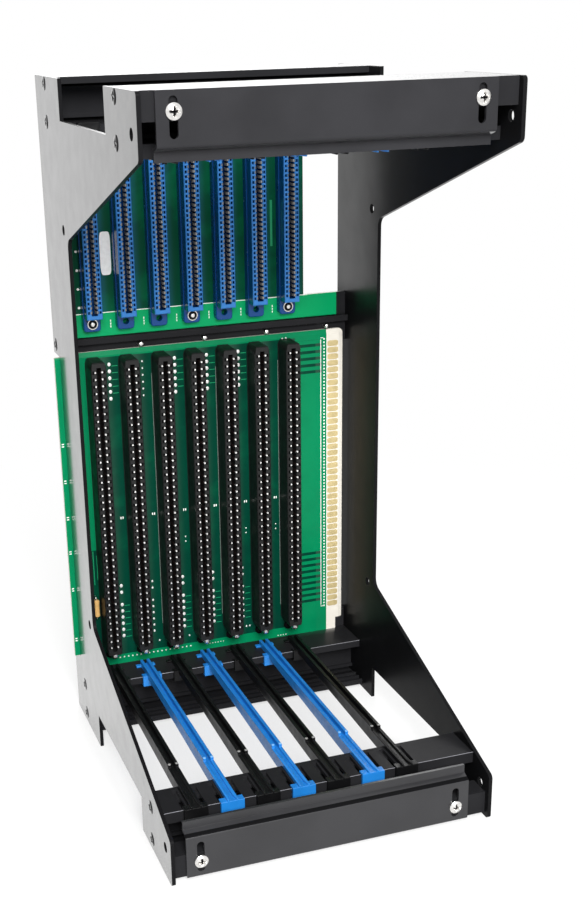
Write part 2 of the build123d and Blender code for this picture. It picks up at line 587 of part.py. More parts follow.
# Card guides
def card_guide(x, top):
    """Guide along one slot: a grooved beam between the decks that clips over both their lips."""
    front_clip = FRONT_DECK_FRONT - CLIP_GAP - CLIP_WALL
    rear_clip = REAR_DECK_FRONT - CLIP_GAP - CLIP_WALL
    front_hook = DECK_Z - FRONT_LIP_DROP - CLIP_GAP
    rear_hook = DECK_Z - REAR_LIP_DROP - CLIP_GAP
    skirt_front = FRONT_DECK_REAR + CLIP_GAP
    floor = DECK_Z + GROOVE_FLOOR
    with BuildPart() as guide:
        # Side view of the beam: a step where the front ridges begin and a skirt deepest at the front
        with BuildSketch(side_plane(x - GUIDE_WIDTH / 2)):
            wall(front_clip, GUIDE_STEP_Y, DECK_Z, DECK_Z + FRONT_RIDGE, top)
            wall(GUIDE_STEP_Y, GUIDE_REAR, DECK_Z, DECK_Z + GUIDE_RIDGE, top)
            with BuildLine():
                Polyline(
                    (skirt_front, level(DECK_Z, top)),
                    (skirt_front, level(DECK_Z - GUIDE_SKIRT_FRONT, top)),
                    (rear_clip, level(DECK_Z - GUIDE_SKIRT_REAR, top)),
                    (rear_clip, level(DECK_Z, top)),
                    close=True,
                )
            make_face()
        extrude(amount=GUIDE_WIDTH)
        # Clips over the lips of the two decks, each with a hook under its lip, and a foot at the rear
        with BuildSketch(side_plane(x - FRONT_CLIP_WIDTH / 2)):
            wall(front_clip, front_clip + CLIP_WALL, front_hook - CLIP_HOOK, floor, top)
            wall(front_clip, front_clip + FRONT_CLIP_DEPTH, DECK_Z, floor, top)
            wall(front_clip, FRONT_DECK_FRONT + CLIP_HOOK_REACH, front_hook - CLIP_HOOK, front_hook, top)
        extrude(amount=FRONT_CLIP_WIDTH)
        with BuildSketch(side_plane(x - REAR_CLIP_WIDTH / 2)):
            wall(rear_clip, rear_clip + CLIP_WALL, rear_hook - CLIP_HOOK, floor, top)
            wall(rear_clip, REAR_DECK_FRONT + CLIP_HOOK_REACH, rear_hook - CLIP_HOOK, rear_hook, top)
            wall(rear_clip, REAR_DECK_FRONT + RAIL_WALL, DECK_Z, floor, top)
            wall(GUIDE_REAR - REAR_FOOT_DEPTH, GUIDE_REAR, DECK_Z, floor, top)
        extrude(amount=REAR_CLIP_WIDTH)
        # Groove for the card's edge, which opens into a mouth at the front
        mouth = front_clip + MOUTH_LENGTH
        flip = -1 if top else 1
        with BuildSketch(plan_plane(floor, top)):
            with BuildLine():
                Polyline(
                    (x - MOUTH_WIDTH / 2, flip * front_clip),
                    (x + MOUTH_WIDTH / 2, flip * front_clip),
                    (x + GUIDE_GROOVE / 2, flip * mouth),
                    (x + GUIDE_GROOVE / 2, flip * GUIDE_REAR),
                    (x - GUIDE_GROOVE / 2, flip * GUIDE_REAR),
                    (x - GUIDE_GROOVE / 2, flip * mouth),
                    close=True,
                )
            make_face()
        extrude(amount=GUIDE_RIDGE, mode=Mode.SUBTRACT)
        # The skirt is two thin walls, open below
        skirt_length = rear_clip - skirt_front
        with BuildSketch(plan_plane(DECK_Z, top)):
            with Locations((x, flip * (skirt_front + skirt_length / 2))):
                Rectangle(GUIDE_WIDTH - 2 * GUIDE_WALL, skirt_length)
        extrude(amount=-GUIDE_SKIRT_FRONT, mode=Mode.SUBTRACT)
    return guide


for k, x in enumerate(SLOT_X):
    save(card_guide(x, False), f"bottom_card_guide_{k + 1}")
    save(card_guide(x, True), f"top_card_guide_{k + 1}")

# Retainer bars and their screws
for top, name in ((False, "bottom"), (True, "top")):
    with BuildPart() as bar:
        with BuildSketch(side_plane(BAR_LEFT)):
            with BuildLine() as fold:
                Polyline(
                    (BAR_REAR, level(BAR_EDGE_Z, top)),
                    (BAR_REAR, level(BAR_JOGGLE_Z, top)),
                    (BAR_REAR + BAR_SET_BACK, level(BAR_JOGGLE_Z + BAR_JOGGLE_RISE, top)),
                    (BAR_REAR + BAR_SET_BACK, level(BAR_LIP_Z, top)),
                )
                offset(amount=BAR_SHEET, side=Side.RIGHT if top else Side.LEFT)
            make_face()
        extrude(amount=BAR_RIGHT - BAR_LEFT)
        slot_middle = (BAR_SLOT_LOW + BAR_SLOT_HIGH) / 2
        with BuildSketch(front_plane(BAR_FRONT)):
            with Locations(*[(x, level(slot_middle, top)) for x in BAR_SCREWS_X]):
                SlotOverall(BAR_SLOT_HIGH - BAR_SLOT_LOW, BAR_SLOT_WIDTH, rotation=90)
        extrude(amount=-BAR_SHEET, mode=Mode.SUBTRACT)
    save(bar, f"{name}_retainer_bar")

    with BuildPart() as bar_screws:
        reach = FLANGE_FRONT + FLANGE_WALL + BAR_SCREW_TIP - BAR_HEAD_SEAT
        for x in BAR_SCREWS_X:
            pan_head(front_seat(x, BAR_HEAD_SEAT, level(BAR_SCREW_Z, top)), reach)
    save(bar_screws, f"{name}_retainer_screws")

# Heads of the screws that hold the backplanes and the connector ears
with BuildPart() as lower_backplane_screws:
    for x in SLOT_X:
        small_head(front_seat(x, BOARD_FRONT, BOARD_SCREW_Z), BOARD_SCREW_HEAD_RADIUS,
                   BOARD_SCREW_HEAD_HEIGHT)
save(lower_backplane_screws, "lower_backplane_screws")

with BuildPart() as upper_connector_screws:
    for k in SCREWED_SLOTS:
        for z in EAR_HOLES_Z:
            small_head(front_seat(SLOT_X[k], EAR_FRONT, z), WASHER_RADIUS, WASHER_THICKNESS)
            small_head(front_seat(SLOT_X[k], EAR_FRONT - WASHER_THICKNESS, z), EAR_SCREW_HEAD_RADIUS,
                       EAR_SCREW_HEAD_HEIGHT)
save(upper_connector_screws, "upper_connector_screws")

with BuildPart() as middle_rail_screws:
    pins = 1 + int((RAIL_LENGTH - MIDDLE_PIN_INSET - MIDDLE_PIN_MARGIN) / MIDDLE_PIN_PITCH)
    for k in range(pins):
        x = MIDDLE_PIN_INSET - PLATE_INNER + k * MIDDLE_PIN_PITCH
        seat = front_seat(x, BOARD_REAR, (LOWER_BOARD_TOP + MIDDLE_RIDGE_LOW) / 2)
        small_head(seat, MIDDLE_PIN_HEAD_RADIUS, MIDDLE_PIN_HEAD_HEIGHT)
save(middle_rail_screws, "middle_rail_screws")

# Resistor on bent leads, with its body just off the board
RESISTOR_X = SLOT_X[0] - RESISTOR_OFFSET
RESISTOR_Z = DECK_Z + RESISTOR_RISE
with BuildPart() as resistor:
    axis_y = BOARD_FRONT - RESISTOR_LIFT - RESISTOR_RADIUS
    with Locations((X_SHIFT + RESISTOR_X, Y_SHIFT + axis_y, RESISTOR_Z)):
        Cylinder(RESISTOR_RADIUS, RESISTOR_LENGTH)
        Box(RESISTOR_LEAD, RESISTOR_LEAD, RESISTOR_SPAN)
    for end in (-1, 1):
        foot = front_seat(RESISTOR_X, BOARD_FRONT, RESISTOR_Z + end * (RESISTOR_SPAN - RESISTOR_LEAD) / 2)
        with BuildSketch(foot) as lead:
            Rectangle(RESISTOR_LEAD, RESISTOR_LEAD)
        extrude(lead.sketch, amount=RESISTOR_LIFT + RESISTOR_RADIUS + RESISTOR_LEAD / 2)
save(resistor, "end_resistor")
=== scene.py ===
import math

import bmesh
import bpy
import numpy as np
from mathutils import Matrix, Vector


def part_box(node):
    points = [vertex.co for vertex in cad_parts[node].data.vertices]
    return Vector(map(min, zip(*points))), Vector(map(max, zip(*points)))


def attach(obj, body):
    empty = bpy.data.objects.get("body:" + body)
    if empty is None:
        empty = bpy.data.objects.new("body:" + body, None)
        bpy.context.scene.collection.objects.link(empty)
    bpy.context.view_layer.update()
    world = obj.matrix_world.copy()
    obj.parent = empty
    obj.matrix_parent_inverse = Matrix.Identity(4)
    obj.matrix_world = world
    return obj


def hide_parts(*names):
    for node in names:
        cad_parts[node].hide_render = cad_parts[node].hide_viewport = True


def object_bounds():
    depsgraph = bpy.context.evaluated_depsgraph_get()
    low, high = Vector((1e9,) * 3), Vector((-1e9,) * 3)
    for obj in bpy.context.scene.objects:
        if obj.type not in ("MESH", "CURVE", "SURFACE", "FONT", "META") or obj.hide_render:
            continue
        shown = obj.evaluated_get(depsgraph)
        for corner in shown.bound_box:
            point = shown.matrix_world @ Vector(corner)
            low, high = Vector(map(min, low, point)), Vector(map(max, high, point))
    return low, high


bl_info = {
    "name": "Card cage dressing",
    "version": (1, 0, 0),
    "blender": (4, 5, 0),
    "location": "3D View > Sidebar > Card cage",
    "description": "Finishes and small pieces for a subrack card cage on its packed frame",
    "category": "Object",
}

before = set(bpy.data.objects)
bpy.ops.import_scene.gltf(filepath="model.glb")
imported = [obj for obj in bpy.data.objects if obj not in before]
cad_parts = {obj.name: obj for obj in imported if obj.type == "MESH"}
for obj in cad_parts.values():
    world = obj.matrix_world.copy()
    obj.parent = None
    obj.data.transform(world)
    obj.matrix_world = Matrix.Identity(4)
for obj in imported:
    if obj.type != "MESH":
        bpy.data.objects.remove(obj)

MM = 0.001
FRONT, BACK, UP, RIGHT = (0.0, -1.0, 0.0), (0.0, 1.0, 0.0), (0.0, 0.0, 1.0), (1.0, 0.0, 0.0)

# Places in millimetres: x from the middle plane, y from the plates' front edge, z from the floor
SLOTS, SLOT_PITCH, FIRST_SLOT_X = 7, 19.05, -68.4
DECK_FRONTS = {"bottom_front_rail": 18.25, "bottom_rear_rail": 167.05}
DECK_TOP_Z = 30.05
# Heights of the band of painted shade across the bottom bar's fold
FOLD_SHADE_Z = (24.4, 25.5)
POLISH_Y, POLISH_Z = (130, 195), (238, 252)
NUB_Y, NUB_SPREAD = 56.9, 2.0
PLATE_SCREWS = [(y, z) for y in (35.5, 181.5) for z in (5.7, 24.5, 346.5, 365.3)] + [(198.8, 226.75)]

# Profiles of turned shapes: (radius, height) in millimetres
NUB = ((0, 0), (0.85, 0), (0.8, 0.3), (0.5, 0.45), (0, 0.5))
RIVET = ((0, 0), (2.0, 0), (2.0, 2.0), (1.6, 2.6), (0.9, 2.9), (0, 3.0))
WASHER = ((0, 0), (3.1, 0), (3.1, 0.8), (2.9, 1.1), (2.5, 1.1), (2.3, 0.25), (0, 0.25))
EAR_HEAD = ((0, 0.2), (1.25, 0.2), (1.25, 1.3), (1.0, 1.65), (0.5, 1.78), (0, 1.8))
DOME = ((0, 0), (2.7, 0), (2.7, 0.4), (2.4, 1.1), (1.7, 1.6), (0.9, 1.85), (0, 1.9))
JOINT = ((0, 0), (0.95, 0), (0.5, 0.5), (0.3, 1.1), (0, 1.2))
RESISTOR = ((0, -5.25), (1.3, -5.25), (1.85, -4.8), (2.0, -4.0), (1.8, -3.0), (1.8, 3.0), (2.0, 4.0),
            (1.85, 4.8), (1.3, 5.25), (0, 5.25))

# Camera fitted to the photograph (azimuth, tilt and roll in degrees), and softboxes in metres and watts
CAMERA_AT, CAMERA_TURN = (-231.0, -547.3, 396.2), (-18.35, 20.91, -1.38)
CAMERA_LENS, CAMERA_SHIFT = 55.04, (0.0608, 0.0993)
SOFTBOXES = (("key_softbox", (-0.25, -1.5, 1.15), (0.0, 0.0, 0.18), 0.9, 55.0),
             ("rear_softbox", (0.3, 1.5, 1.2), (0.0, 0.0, 0.2), 1.2, 20.0))


def plain(corners):
    """Two corner points as plain lists of numbers."""
    return [[float(value) for value in corner] for corner in corners]


CAD_BOX = plain(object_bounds())


def node_box(name):
    """Lowest and highest corner of a CAD node as arrays, in metres."""
    low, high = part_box(name)
    return np.array(low), np.array(high)


# The cage's own zero: the middle plane between the side plates, their front edge, the floor
MIDDLE_X = (node_box("left_side_plate")[0][0] + node_box("right_side_plate")[1][0]) / 2
FRONT_Y = node_box("left_side_plate")[0][1]
BOARD_Y = node_box("lower_backplane")[0][1]


def linear(colour):
    """Linear RGBA of an sRGB hex colour."""
    parts = [int(colour[k:k + 2], 16) / 255 for k in (1, 3, 5)]
    return tuple(p / 12.92 if p <= 0.04045 else ((p + 0.055) / 1.055) ** 2.4 for p in parts) + (1.0,)


def shade(label, colour):
    """A colour property whose default is an sRGB hex colour."""
    return bpy.props.FloatVectorProperty(
        name=label, description=f"Colour of the {label.lower()}", subtype="COLOR", size=4,
        min=0.0, max=1.0, default=linear(colour))


def size(label, millimetres, what):
    """A length property whose default is given in millimetres."""
    return bpy.props.FloatProperty(
        name=label, description=what, default=millimetres * MM, unit="LENGTH", precision=5)


class CageColours(bpy.types.PropertyGroup):
    """Colours of the finishes."""

    metal: shade("Anodised metal", "#272729")
    nickel: shade("Nickel plating", "#efedea")
    mask: shade("Lower solder mask", "#037c4f")
    mask_copper: shade("Lower solder mask over copper", "#01392a")
    # Painted reflection on the lower mask beside the connectors
    painted_reflection: shade("Lower solder mask, painted reflection", "#2a4a3c")
    upper_mask: shade("Upper solder mask", "#04955a")
    upper_copper: shade("Upper solder mask over copper", "#02412c")
    # Painted reflection on the upper mask beside the connectors
    upper_painted_reflection: shade("Upper solder mask, painted reflection", "#1c5a73")
    bare_board: shade("Bare board", "#ded9ce")
    ink: shade("Marking ink", "#f2f4ee")
    gold: shade("Gold plating", "#d9c590")
    tin: shade("Tinned contacts", "#f4f3f0")
    # Painted shade on the springs deep in the slots
    spring_shade: shade("Springs in painted shade", "#1c0f0d")
    black_plastic: shade("Black connectors", "#151515")
    blue_plastic: shade("Blue connectors", "#3674b6")
    # Painted shade on the walls, slots and wells of the blue connectors
    blue_wall_shade: shade("Blue connectors, painted shade on walls", "#003a74")
    blue_guide: shade("Blue guides", "#1f7ac9")
    black_guide: shade("Black guides", "#0d0d0e")
    # Painted highlight on the nubs of the blue guides
    blue_guide_highlight: shade("Blue guides, painted highlight", "#74aee8")
    amber: shade("Resistor body", "#e6b873")
    # Painted highlight along the feet of the black housings
    foot_highlight: shade("Painted foot highlight", "#78837b")
    paper: shade("Blank label", "#f3f3f1")
    floor: shade("Floor", "#f7f7f6")


class CageSizes(bpy.types.PropertyGroup):
    """Sizes of the pieces that the CAD solids leave plain."""

    edge: size("Metal edge radius", 0.3, "Rounding of the metal edges")
    moulded_edge: size("Moulded edge radius", 0.25, "Rounding of the guides' edges")
    lower_pitch: size("Lower contact pitch", 3.9624, "Step of the contacts in the black connectors")
    lower_margin: size("Lower end margin", 5.3, "From a black connector's end to its last contact")
    upper_pitch: size("Upper contact pitch", 2.54, "Step of the contacts in the blue connectors")
    upper_margin: size("Upper end margin", 4.0, "From a blue body's end to its last contact")
    ear: size("Ear length", 8.0, "From a blue connector's end to its body")
    ear_height: size("Ear height", 5.0, "How far the ears stand off the board")
    ear_hole: size("Ear hole inset", 4.4, "From a blue connector's end to the hole in its ear")
    finger_left: size("Finger start", 72.5, "Inner end of the gold fingers, from the middle plane")
    finger_right: size("Finger end", 79.3, "Outer end of the gold fingers, from the middle plane")


def add(tree, kind, values=None, links=None, **settings):
    """Add one node: settings are its properties, values its fixed inputs, links what feeds it, as
    a socket or as a node that feeds it by its first output."""
    made = tree.nodes.new(kind)
    for key, value in settings.items():
        setattr(made, key, value)
    for key, value in (values or {}).items():
        made.inputs[key].default_value = value
    for key, source in (links or {}).items():
        tree.links.new(getattr(source, "outputs", [source])[0], made.inputs[key])
    return made


def surface(name, values):
    """New material with one Principled surface that has these fixed values; also its parts."""
    material = bpy.data.materials.new(name)
    material.use_nodes = True
    tree = material.node_tree
    tree.nodes.clear()
    body = add(tree, "ShaderNodeBsdfPrincipled", values)
    add(tree, "ShaderNodeOutputMaterial", links={"Surface": body.outputs["BSDF"]})
    place = add(tree, "ShaderNodeTexCoord")
    return material, tree, body, place.outputs["Object"]


def axes_of(tree, kind):
    """X, Y and Z of the Object place or of the Normal direction of a point."""
    source = add(tree, "ShaderNodeTexCoord").outputs[kind]
    return add(tree, "ShaderNodeSeparateXYZ", links={"Vector": source}).outputs


def grain(tree, body, place, spacing, depth):
    """Fine bump: noise whose cells are about spacing metres wide and depth metres deep."""
    noise = add(tree, "ShaderNodeTexNoise", {"Scale": 1 / spacing, "Detail": 3.0}, {"Vector": place})
    bump = add(tree, "ShaderNodeBump", {"Strength": 1.0, "Distance": depth},
               {"Height": noise})
    tree.links.new(bump.outputs["Normal"], body.inputs["Normal"])


def vary(tree, body, place, spacing, socket, low, high):
    """Feed a value that drifts between low and high over patches about spacing metres wide."""
    noise = add(tree, "ShaderNodeTexNoise", {"Scale": 1 / spacing, "Detail": 4.0}, {"Vector": place})
    drift = add(tree, "ShaderNodeMapRange", {"From Min": 0.3, "From Max": 0.7, "To Min": low, "To Max": high},
                {"Value": noise})
    tree.links.new(drift.outputs["Result"], body.inputs[socket])


def tint(tree, body, place, spacing, first, second):
    """Feed a base colour that drifts between two colours over patches about spacing metres wide."""
    noise = add(tree, "ShaderNodeTexNoise", {"Scale": 1 / spacing, "Detail": 5.0}, {"Vector": place})
    spread = add(tree, "ShaderNodeMapRange", {"From Min": 0.35, "From Max": 0.65},
                 {"Value": noise})
    mix = add(tree, "ShaderNodeMix", {6: first, 7: second}, {0: spread}, data_type="RGBA")
    tree.links.new(mix.outputs[2], body.inputs["Base Color"])
    return mix


def darker(colour, by):
    """The same colour, by times as strong."""
    return tuple(c * by for c in colour[:3]) + (1.0,)


def anodised_metal(name, colour, shine, rolled=False, fold_shade=None):
    """Black anodised aluminium, satin: dark and with little shine from the front, while its
    smooth oxide skin mirrors the surroundings where it is seen at a low angle.  A rolled sheet
    has that skin on its two large faces only, which look along x, and not on its cut edges, and
    on the right its inner face is polished high up at the back.  Between the two heights given
    for a fold the colour is painted dark and the shine dulled, as painted shade for a fold in shadow."""
    metal, tree, body, place = surface(name, {"IOR": 1.5, "Coat IOR": 1.8, "Coat Roughness": 0.14})
    even = tint(tree, body, place, 30 * MM, colour, darker(colour, 1.25))
    slant = add(tree, "ShaderNodeLayerWeight", {"Blend": 0.5})
    skin = add(tree, "ShaderNodeMapRange", {"From Min": 0.68, "From Max": 0.76},
               {"Value": slant.outputs["Facing"]}, interpolation_type="SMOOTHSTEP").outputs["Result"]
    gloss = add(tree, "ShaderNodeMapRange", {"To Min": shine, "To Max": 0.5}, {"Value": skin})
    coat = skin
    if rolled:
        normal = axes_of(tree, "Normal")
        sheet = add(tree, "ShaderNodeMath", None, {0: normal["X"]}, operation="ABSOLUTE")
        sheet = add(tree, "ShaderNodeMath", {1: 0.7}, {0: sheet}, operation="GREATER_THAN")
        coat = combined(tree, "MULTIPLY", skin, sheet)
        worn = add(tree, "ShaderNodeMapRange", {"To Min": 0.04, "To Max": shine},
                   {"Value": polished(tree, normal)})
        tree.links.new(worn.outputs["Result"], gloss.inputs["To Min"])
    # Painted shade: a dark, dull band between the two heights of the fold
    if fold_shade:
        bend = within(tree, axes_of(tree, "Object")["Z"], *(z * MM for z in fold_shade))
        dark = add(tree, "ShaderNodeMix", {7: darker(colour, 0.3)}, {0: bend, 6: even.outputs[2]},
                   data_type="RGBA")
        tree.links.new(dark.outputs[2], body.inputs["Base Color"])
        dull = add(tree, "ShaderNodeMapRange", {"To Min": shine, "To Max": 0.02}, {"Value": bend})
        tree.links.new(dull.outputs["Result"], gloss.inputs["To Min"])
    tree.links.new(coat, body.inputs["Coat Weight"])
    tree.links.new(gloss.outputs["Result"], body.inputs["Specular IOR Level"])
    vary(tree, body, place, 12 * MM, "Roughness", 0.28, 0.36)
    # Real etch grain is about 0.05 mm; drawn at 0.4 mm so that it shows
    grain(tree, body, place, 0.4 * MM, 0.004 * MM)
    return metal


def polished(tree, normal):
    """One on the right plate's inner face, high up at the back, with soft borders; else nought."""
    axes = axes_of(tree, "Object")
    soft = []
    for axis, start, ends in (("Z", 0.0, POLISH_Z), ("Y", FRONT_Y, POLISH_Y)):
        low, high = (start + end * MM for end in ends)
        soft.append(add(tree, "ShaderNodeMapRange", {"From Min": low, "From Max": high},
                        {"Value": axes[axis]}, interpolation_type="SMOOTHSTEP").outputs["Result"])
    right = add(tree, "ShaderNodeMath", {1: MIDDLE_X}, {0: axes["X"]}, operation="GREATER_THAN")
    inner = add(tree, "ShaderNodeMath", {1: -0.7}, {0: normal["X"]}, operation="LESS_THAN")
    return combined(tree, "MULTIPLY", *soft, right, inner)


def nickel_steel(colours):
    """Nickel-plated steel, turned and tumbled: bright, with small soft scratches; made once."""
    if "nickel_plated_steel" in bpy.data.materials:
        return bpy.data.materials["nickel_plated_steel"]
    steel, tree, body, place = surface("nickel_plated_steel", {"Metallic": 1.0})
    tint(tree, body, place, 1.5 * MM, colours.nickel, darker(colours.nickel, 0.82))
    vary(tree, body, place, 0.8 * MM, "Roughness", 0.16, 0.34)
    return steel


def moulded(name, colour, rough, spacing=0.5 * MM, depth=0.006 * MM, gloss=0.5, shaded=None):
    """Moulded plastic: an even colour under a soft skin with the fine grain of the mould.

    shaded is (front plane, colour): behind that plane the colour goes over to the given colour of
    painted shade within 1.2 mm, for walls, slots and wells in shade, with the gloss of a drawn wall.
    """
    plastic, tree, body, place = surface(name, {"IOR": 1.5, "Specular IOR Level": gloss})
    even = tint(tree, body, place, 8 * MM, colour, darker(colour, 0.86))
    if shaded:
        # Painted shade: darker colour behind the front plane
        plane, shade_colour = shaded
        behind = add(tree, "ShaderNodeMapRange", {"From Min": plane + 0.2 * MM, "From Max": plane + 1.4 * MM},
                     {"Value": axes_of(tree, "Object")["Y"]}, interpolation_type="SMOOTHSTEP").outputs["Result"]
        deep = add(tree, "ShaderNodeMix", {7: shade_colour}, {0: behind, 6: even.outputs[2]}, data_type="RGBA")
        tree.links.new(deep.outputs[2], body.inputs["Base Color"])
        full = add(tree, "ShaderNodeMapRange", {"To Min": gloss, "To Max": 0.35}, {"Value": behind})
        tree.links.new(full.outputs["Result"], body.inputs["Specular IOR Level"])
    vary(tree, body, place, 5 * MM, "Roughness", rough - 0.05, rough + 0.08)
    grain(tree, body, place, spacing, depth)
    return plastic


def bright_metal(name, colour, rough, metallic=1.0):
    """Plated contact metal: soft, bright and a little uneven; a duller film lowers the metallic share."""
    plating, tree, body, place = surface(name, {"Metallic": metallic})
    tint(tree, body, place, 3 * MM, colour, darker(colour, 0.85))
    vary(tree, body, place, 1 * MM, "Roughness", rough, rough + 0.12)
    return plating


def matt(name, colour, rough):
    """Ink, paper or bare laminate: flat colour with a faint mottle."""
    coat, tree, body, place = surface(name, {"IOR": 1.5, "Roughness": rough})
    tint(tree, body, place, 2 * MM, colour, darker(colour, 0.92))
    return coat


def within(tree, value, low, high):
    """One where a value lies between low and high, else nought."""
    above = add(tree, "ShaderNodeMath", {1: low}, {0: value}, operation="GREATER_THAN")
    below = add(tree, "ShaderNodeMath", {1: high}, {0: value}, operation="LESS_THAN")
    return combined(tree, "MULTIPLY", above, below)


def combined(tree, operation, *factors):
    """Factors put together in turn: MULTIPLY keeps what all of them share, MAXIMUM what any has."""
    total = factors[0]
    for factor in factors[1:]:
        total = add(tree, "ShaderNodeMath", None, {0: total, 1: factor}, operation=operation).outputs[0]
    return total


def seen(tree):
    """One for rays from the eye, a mirror or a clear body, else nought."""
    path = add(tree, "ShaderNodeLightPath")
    kinds = ("Camera", "Glossy", "Transmission")
    return combined(tree, "MAXIMUM", *(path.outputs[f"Is {kind} Ray"] for kind in kinds))


def board(name, mask, over_copper, painted_reflection, bare_board, copper, bands, bare_from):
    """Glass-epoxy board under glossy green solder mask.

    The mask is darker where copper lies under it: in the copper boxes, and as fine level lines
    in the bands.  Each box or band is (x0, x1, z0, z1) from the middle plane and the floor, in
    millimetres.  Over copper, on the front face, a pale painted reflection fades away to the right
    of every connector.  The mask stops at bare_from, and the cut edges show pale laminate.
    """
    laminate, tree, body, place = surface(name, {"IOR": 1.52, "Roughness": 0.3, "Specular IOR Level": 0.08})
    x, _, z = axes_of(tree, "Object")

    def inside(box):
        x0, x1, z0, z1 = (edge * MM for edge in box)
        return combined(tree, "MULTIPLY", within(tree, x, x0 + MIDDLE_X, x1 + MIDDLE_X),
                        within(tree, z, z0, z1))

    # Bus lines 0.9 mm wide at a step of 1.98 mm
    step = add(tree, "ShaderNodeMath", {1: 1.98 * MM}, {0: z}, operation="PINGPONG")
    line = add(tree, "ShaderNodeMath", {1: 0.9 * MM}, {0: step}, operation="LESS_THAN")
    lined = [combined(tree, "MULTIPLY", inside(box), line) for box in bands]
    cover = combined(tree, "MAXIMUM", *(inside(box) for box in copper), *lined)
    cloud = add(tree, "ShaderNodeTexNoise", {"Scale": 1 / (14 * MM), "Detail": 4.0}, {"Vector": place})
    mottle = add(tree, "ShaderNodeMapRange",
                 {"From Min": 0.3, "From Max": 0.7, "To Min": -0.12, "To Max": 0.12},
                 {"Value": cloud})
    depth = combined(tree, "ADD", cover, mottle)
    # Share of the slot pitch, from the middle of one connector to the next
    along = add(tree, "ShaderNodeMath", {1: MIDDLE_X + FIRST_SLOT_X * MM}, {0: x}, operation="SUBTRACT")
    share = add(tree, "ShaderNodeMath", {1: 1 / (SLOT_PITCH * MM)}, {0: along}, operation="MULTIPLY")
    share = add(tree, "ShaderNodeMath", None, {0: share}, operation="FRACT")
    # Painted reflection: pale just right of each connector, gone by 0.62 of the pitch, on front faces over
    # copper
    reflection_share = add(tree, "ShaderNodeMapRange",
               {"From Min": 0.24, "From Max": 0.62, "To Min": 0.85, "To Max": 0.0},
               {"Value": share}, interpolation_type="SMOOTHSTEP")
    normal = axes_of(tree, "Normal")
    front = add(tree, "ShaderNodeMath", {1: -0.5}, {0: normal["Y"]}, operation="LESS_THAN")
    reflection_share = combined(tree, "MULTIPLY", reflection_share, front)
    copper_green = add(tree, "ShaderNodeMix", {6: over_copper, 7: painted_reflection}, {0: reflection_share}, data_type="RGBA")
    green = add(tree, "ShaderNodeMix", {6: mask}, {0: depth, 7: copper_green.outputs[2]}, data_type="RGBA")
    flat = add(tree, "ShaderNodeMath", None, {0: normal["Y"]}, operation="ABSOLUTE")
    edge = add(tree, "ShaderNodeMath", {1: 0.5}, {0: flat}, operation="LESS_THAN")
    pale_part = add(tree, "ShaderNodeMath", {1: bare_from * MM + MIDDLE_X}, {0: x}, operation="GREATER_THAN")
    pale = combined(tree, "MAXIMUM", edge, pale_part)
    colour = add(tree, "ShaderNodeMix", {7: bare_board}, {0: pale, 6: green.outputs[2]}, data_type="RGBA")
    tree.links.new(colour.outputs[2], body.inputs["Base Color"])
    grain(tree, body, place, 0.7 * MM, 0.004 * MM)
    return laminate


def quads(points, around):
    """Corner numbers of the quads of one grid or of many; around joins its last row to its first."""
    rows, columns = points.shape[-3:-1]
    number = np.arange(points[..., 0].size).reshape(-1, rows, columns)
    if around:
        number = np.concatenate([number, number[:, :1]], axis=1)
    ring = (number[:, :-1, :-1], number[:, 1:, :-1], number[:, 1:, 1:], number[:, :-1, 1:])
    return np.stack(ring, axis=-1).reshape(-1, 4)


def put(name, shells, material, replaced=(), body="cage", smooth=35.0):
    """One piece from closed shells, each a (points, around) grid or stack of grids.

    Corners that fall together are merged, which closes poles and seams, and the faces of each
    shell are then turned outwards.
    """
    corners, faces, count = [], [], 0
    for points, around in shells:
        corners.append(points.reshape(-1, 3))
        faces.append(quads(points, around) + count)
        count += corners[-1].shape[0]
    mesh = bpy.data.meshes.new(name)
    mesh.from_pydata(np.concatenate(corners), [], np.concatenate(faces))
    work = bmesh.new()
    work.from_mesh(mesh)
    bmesh.ops.remove_doubles(work, verts=work.verts, dist=0.002 * MM)
    bmesh.ops.dissolve_degenerate(work, edges=work.edges, dist=0.001 * MM)
    bmesh.ops.recalc_face_normals(work, faces=work.faces)
    work.to_mesh(mesh)
    work.free()
    as_piece(name, mesh, material, replaced, body, smooth)


def linked(name, data):
    """New object for a mesh, a lamp or a camera, in the scene."""
    thing = bpy.data.objects.new(name, data)
    bpy.context.scene.collection.objects.link(thing)
    return thing


def as_piece(name, mesh, material, replaced, body, smooth):
    """Object for a finished mesh, with its finish, its body and the CAD nodes it stands for."""
    mesh.polygons.foreach_set("use_smooth", np.ones(len(mesh.polygons), dtype=bool))
    mesh.set_sharp_from_angle(angle=math.radians(smooth))
    mesh.materials.clear()
    mesh.materials.append(material)
    piece = linked(name, mesh)
    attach(piece, body)
    if replaced:
        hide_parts(*replaced)
    return piece


def eased(node, material, width, body="cage"):
    """Copy of a CAD node with its corners merged and its edges rounded by a Bevel modifier."""
    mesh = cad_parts[node].data.copy()
    work = bmesh.new()
    work.from_mesh(mesh)
    bmesh.ops.remove_doubles(work, verts=work.verts, dist=0.002 * MM)
    bmesh.ops.dissolve_limit(work, angle_limit=math.radians(1.0), verts=work.verts, edges=work.edges)
    work.to_mesh(mesh)
    work.free()
    piece = as_piece(f"{node}_eased", mesh, material, (node,), body, 35.0)
    bevel = piece.modifiers.new("eased_edges", "BEVEL")
    bevel.width = width
    bevel.segments = 2
    bevel.limit_method = "ANGLE"
    bevel.angle_limit = math.radians(40.0)
    bevel.harden_normals = True


def dress(node, material):
    """Give a CAD node its finish."""
    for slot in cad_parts[node].material_slots:
        slot.material = material


def frame_of(axis):
    """A direction as an array, and two more that are square to it."""
    axis = np.asarray(axis, float)
    across = np.array([axis[1], axis[2], axis[0]])
    return axis, across, np.cross(axis, across)


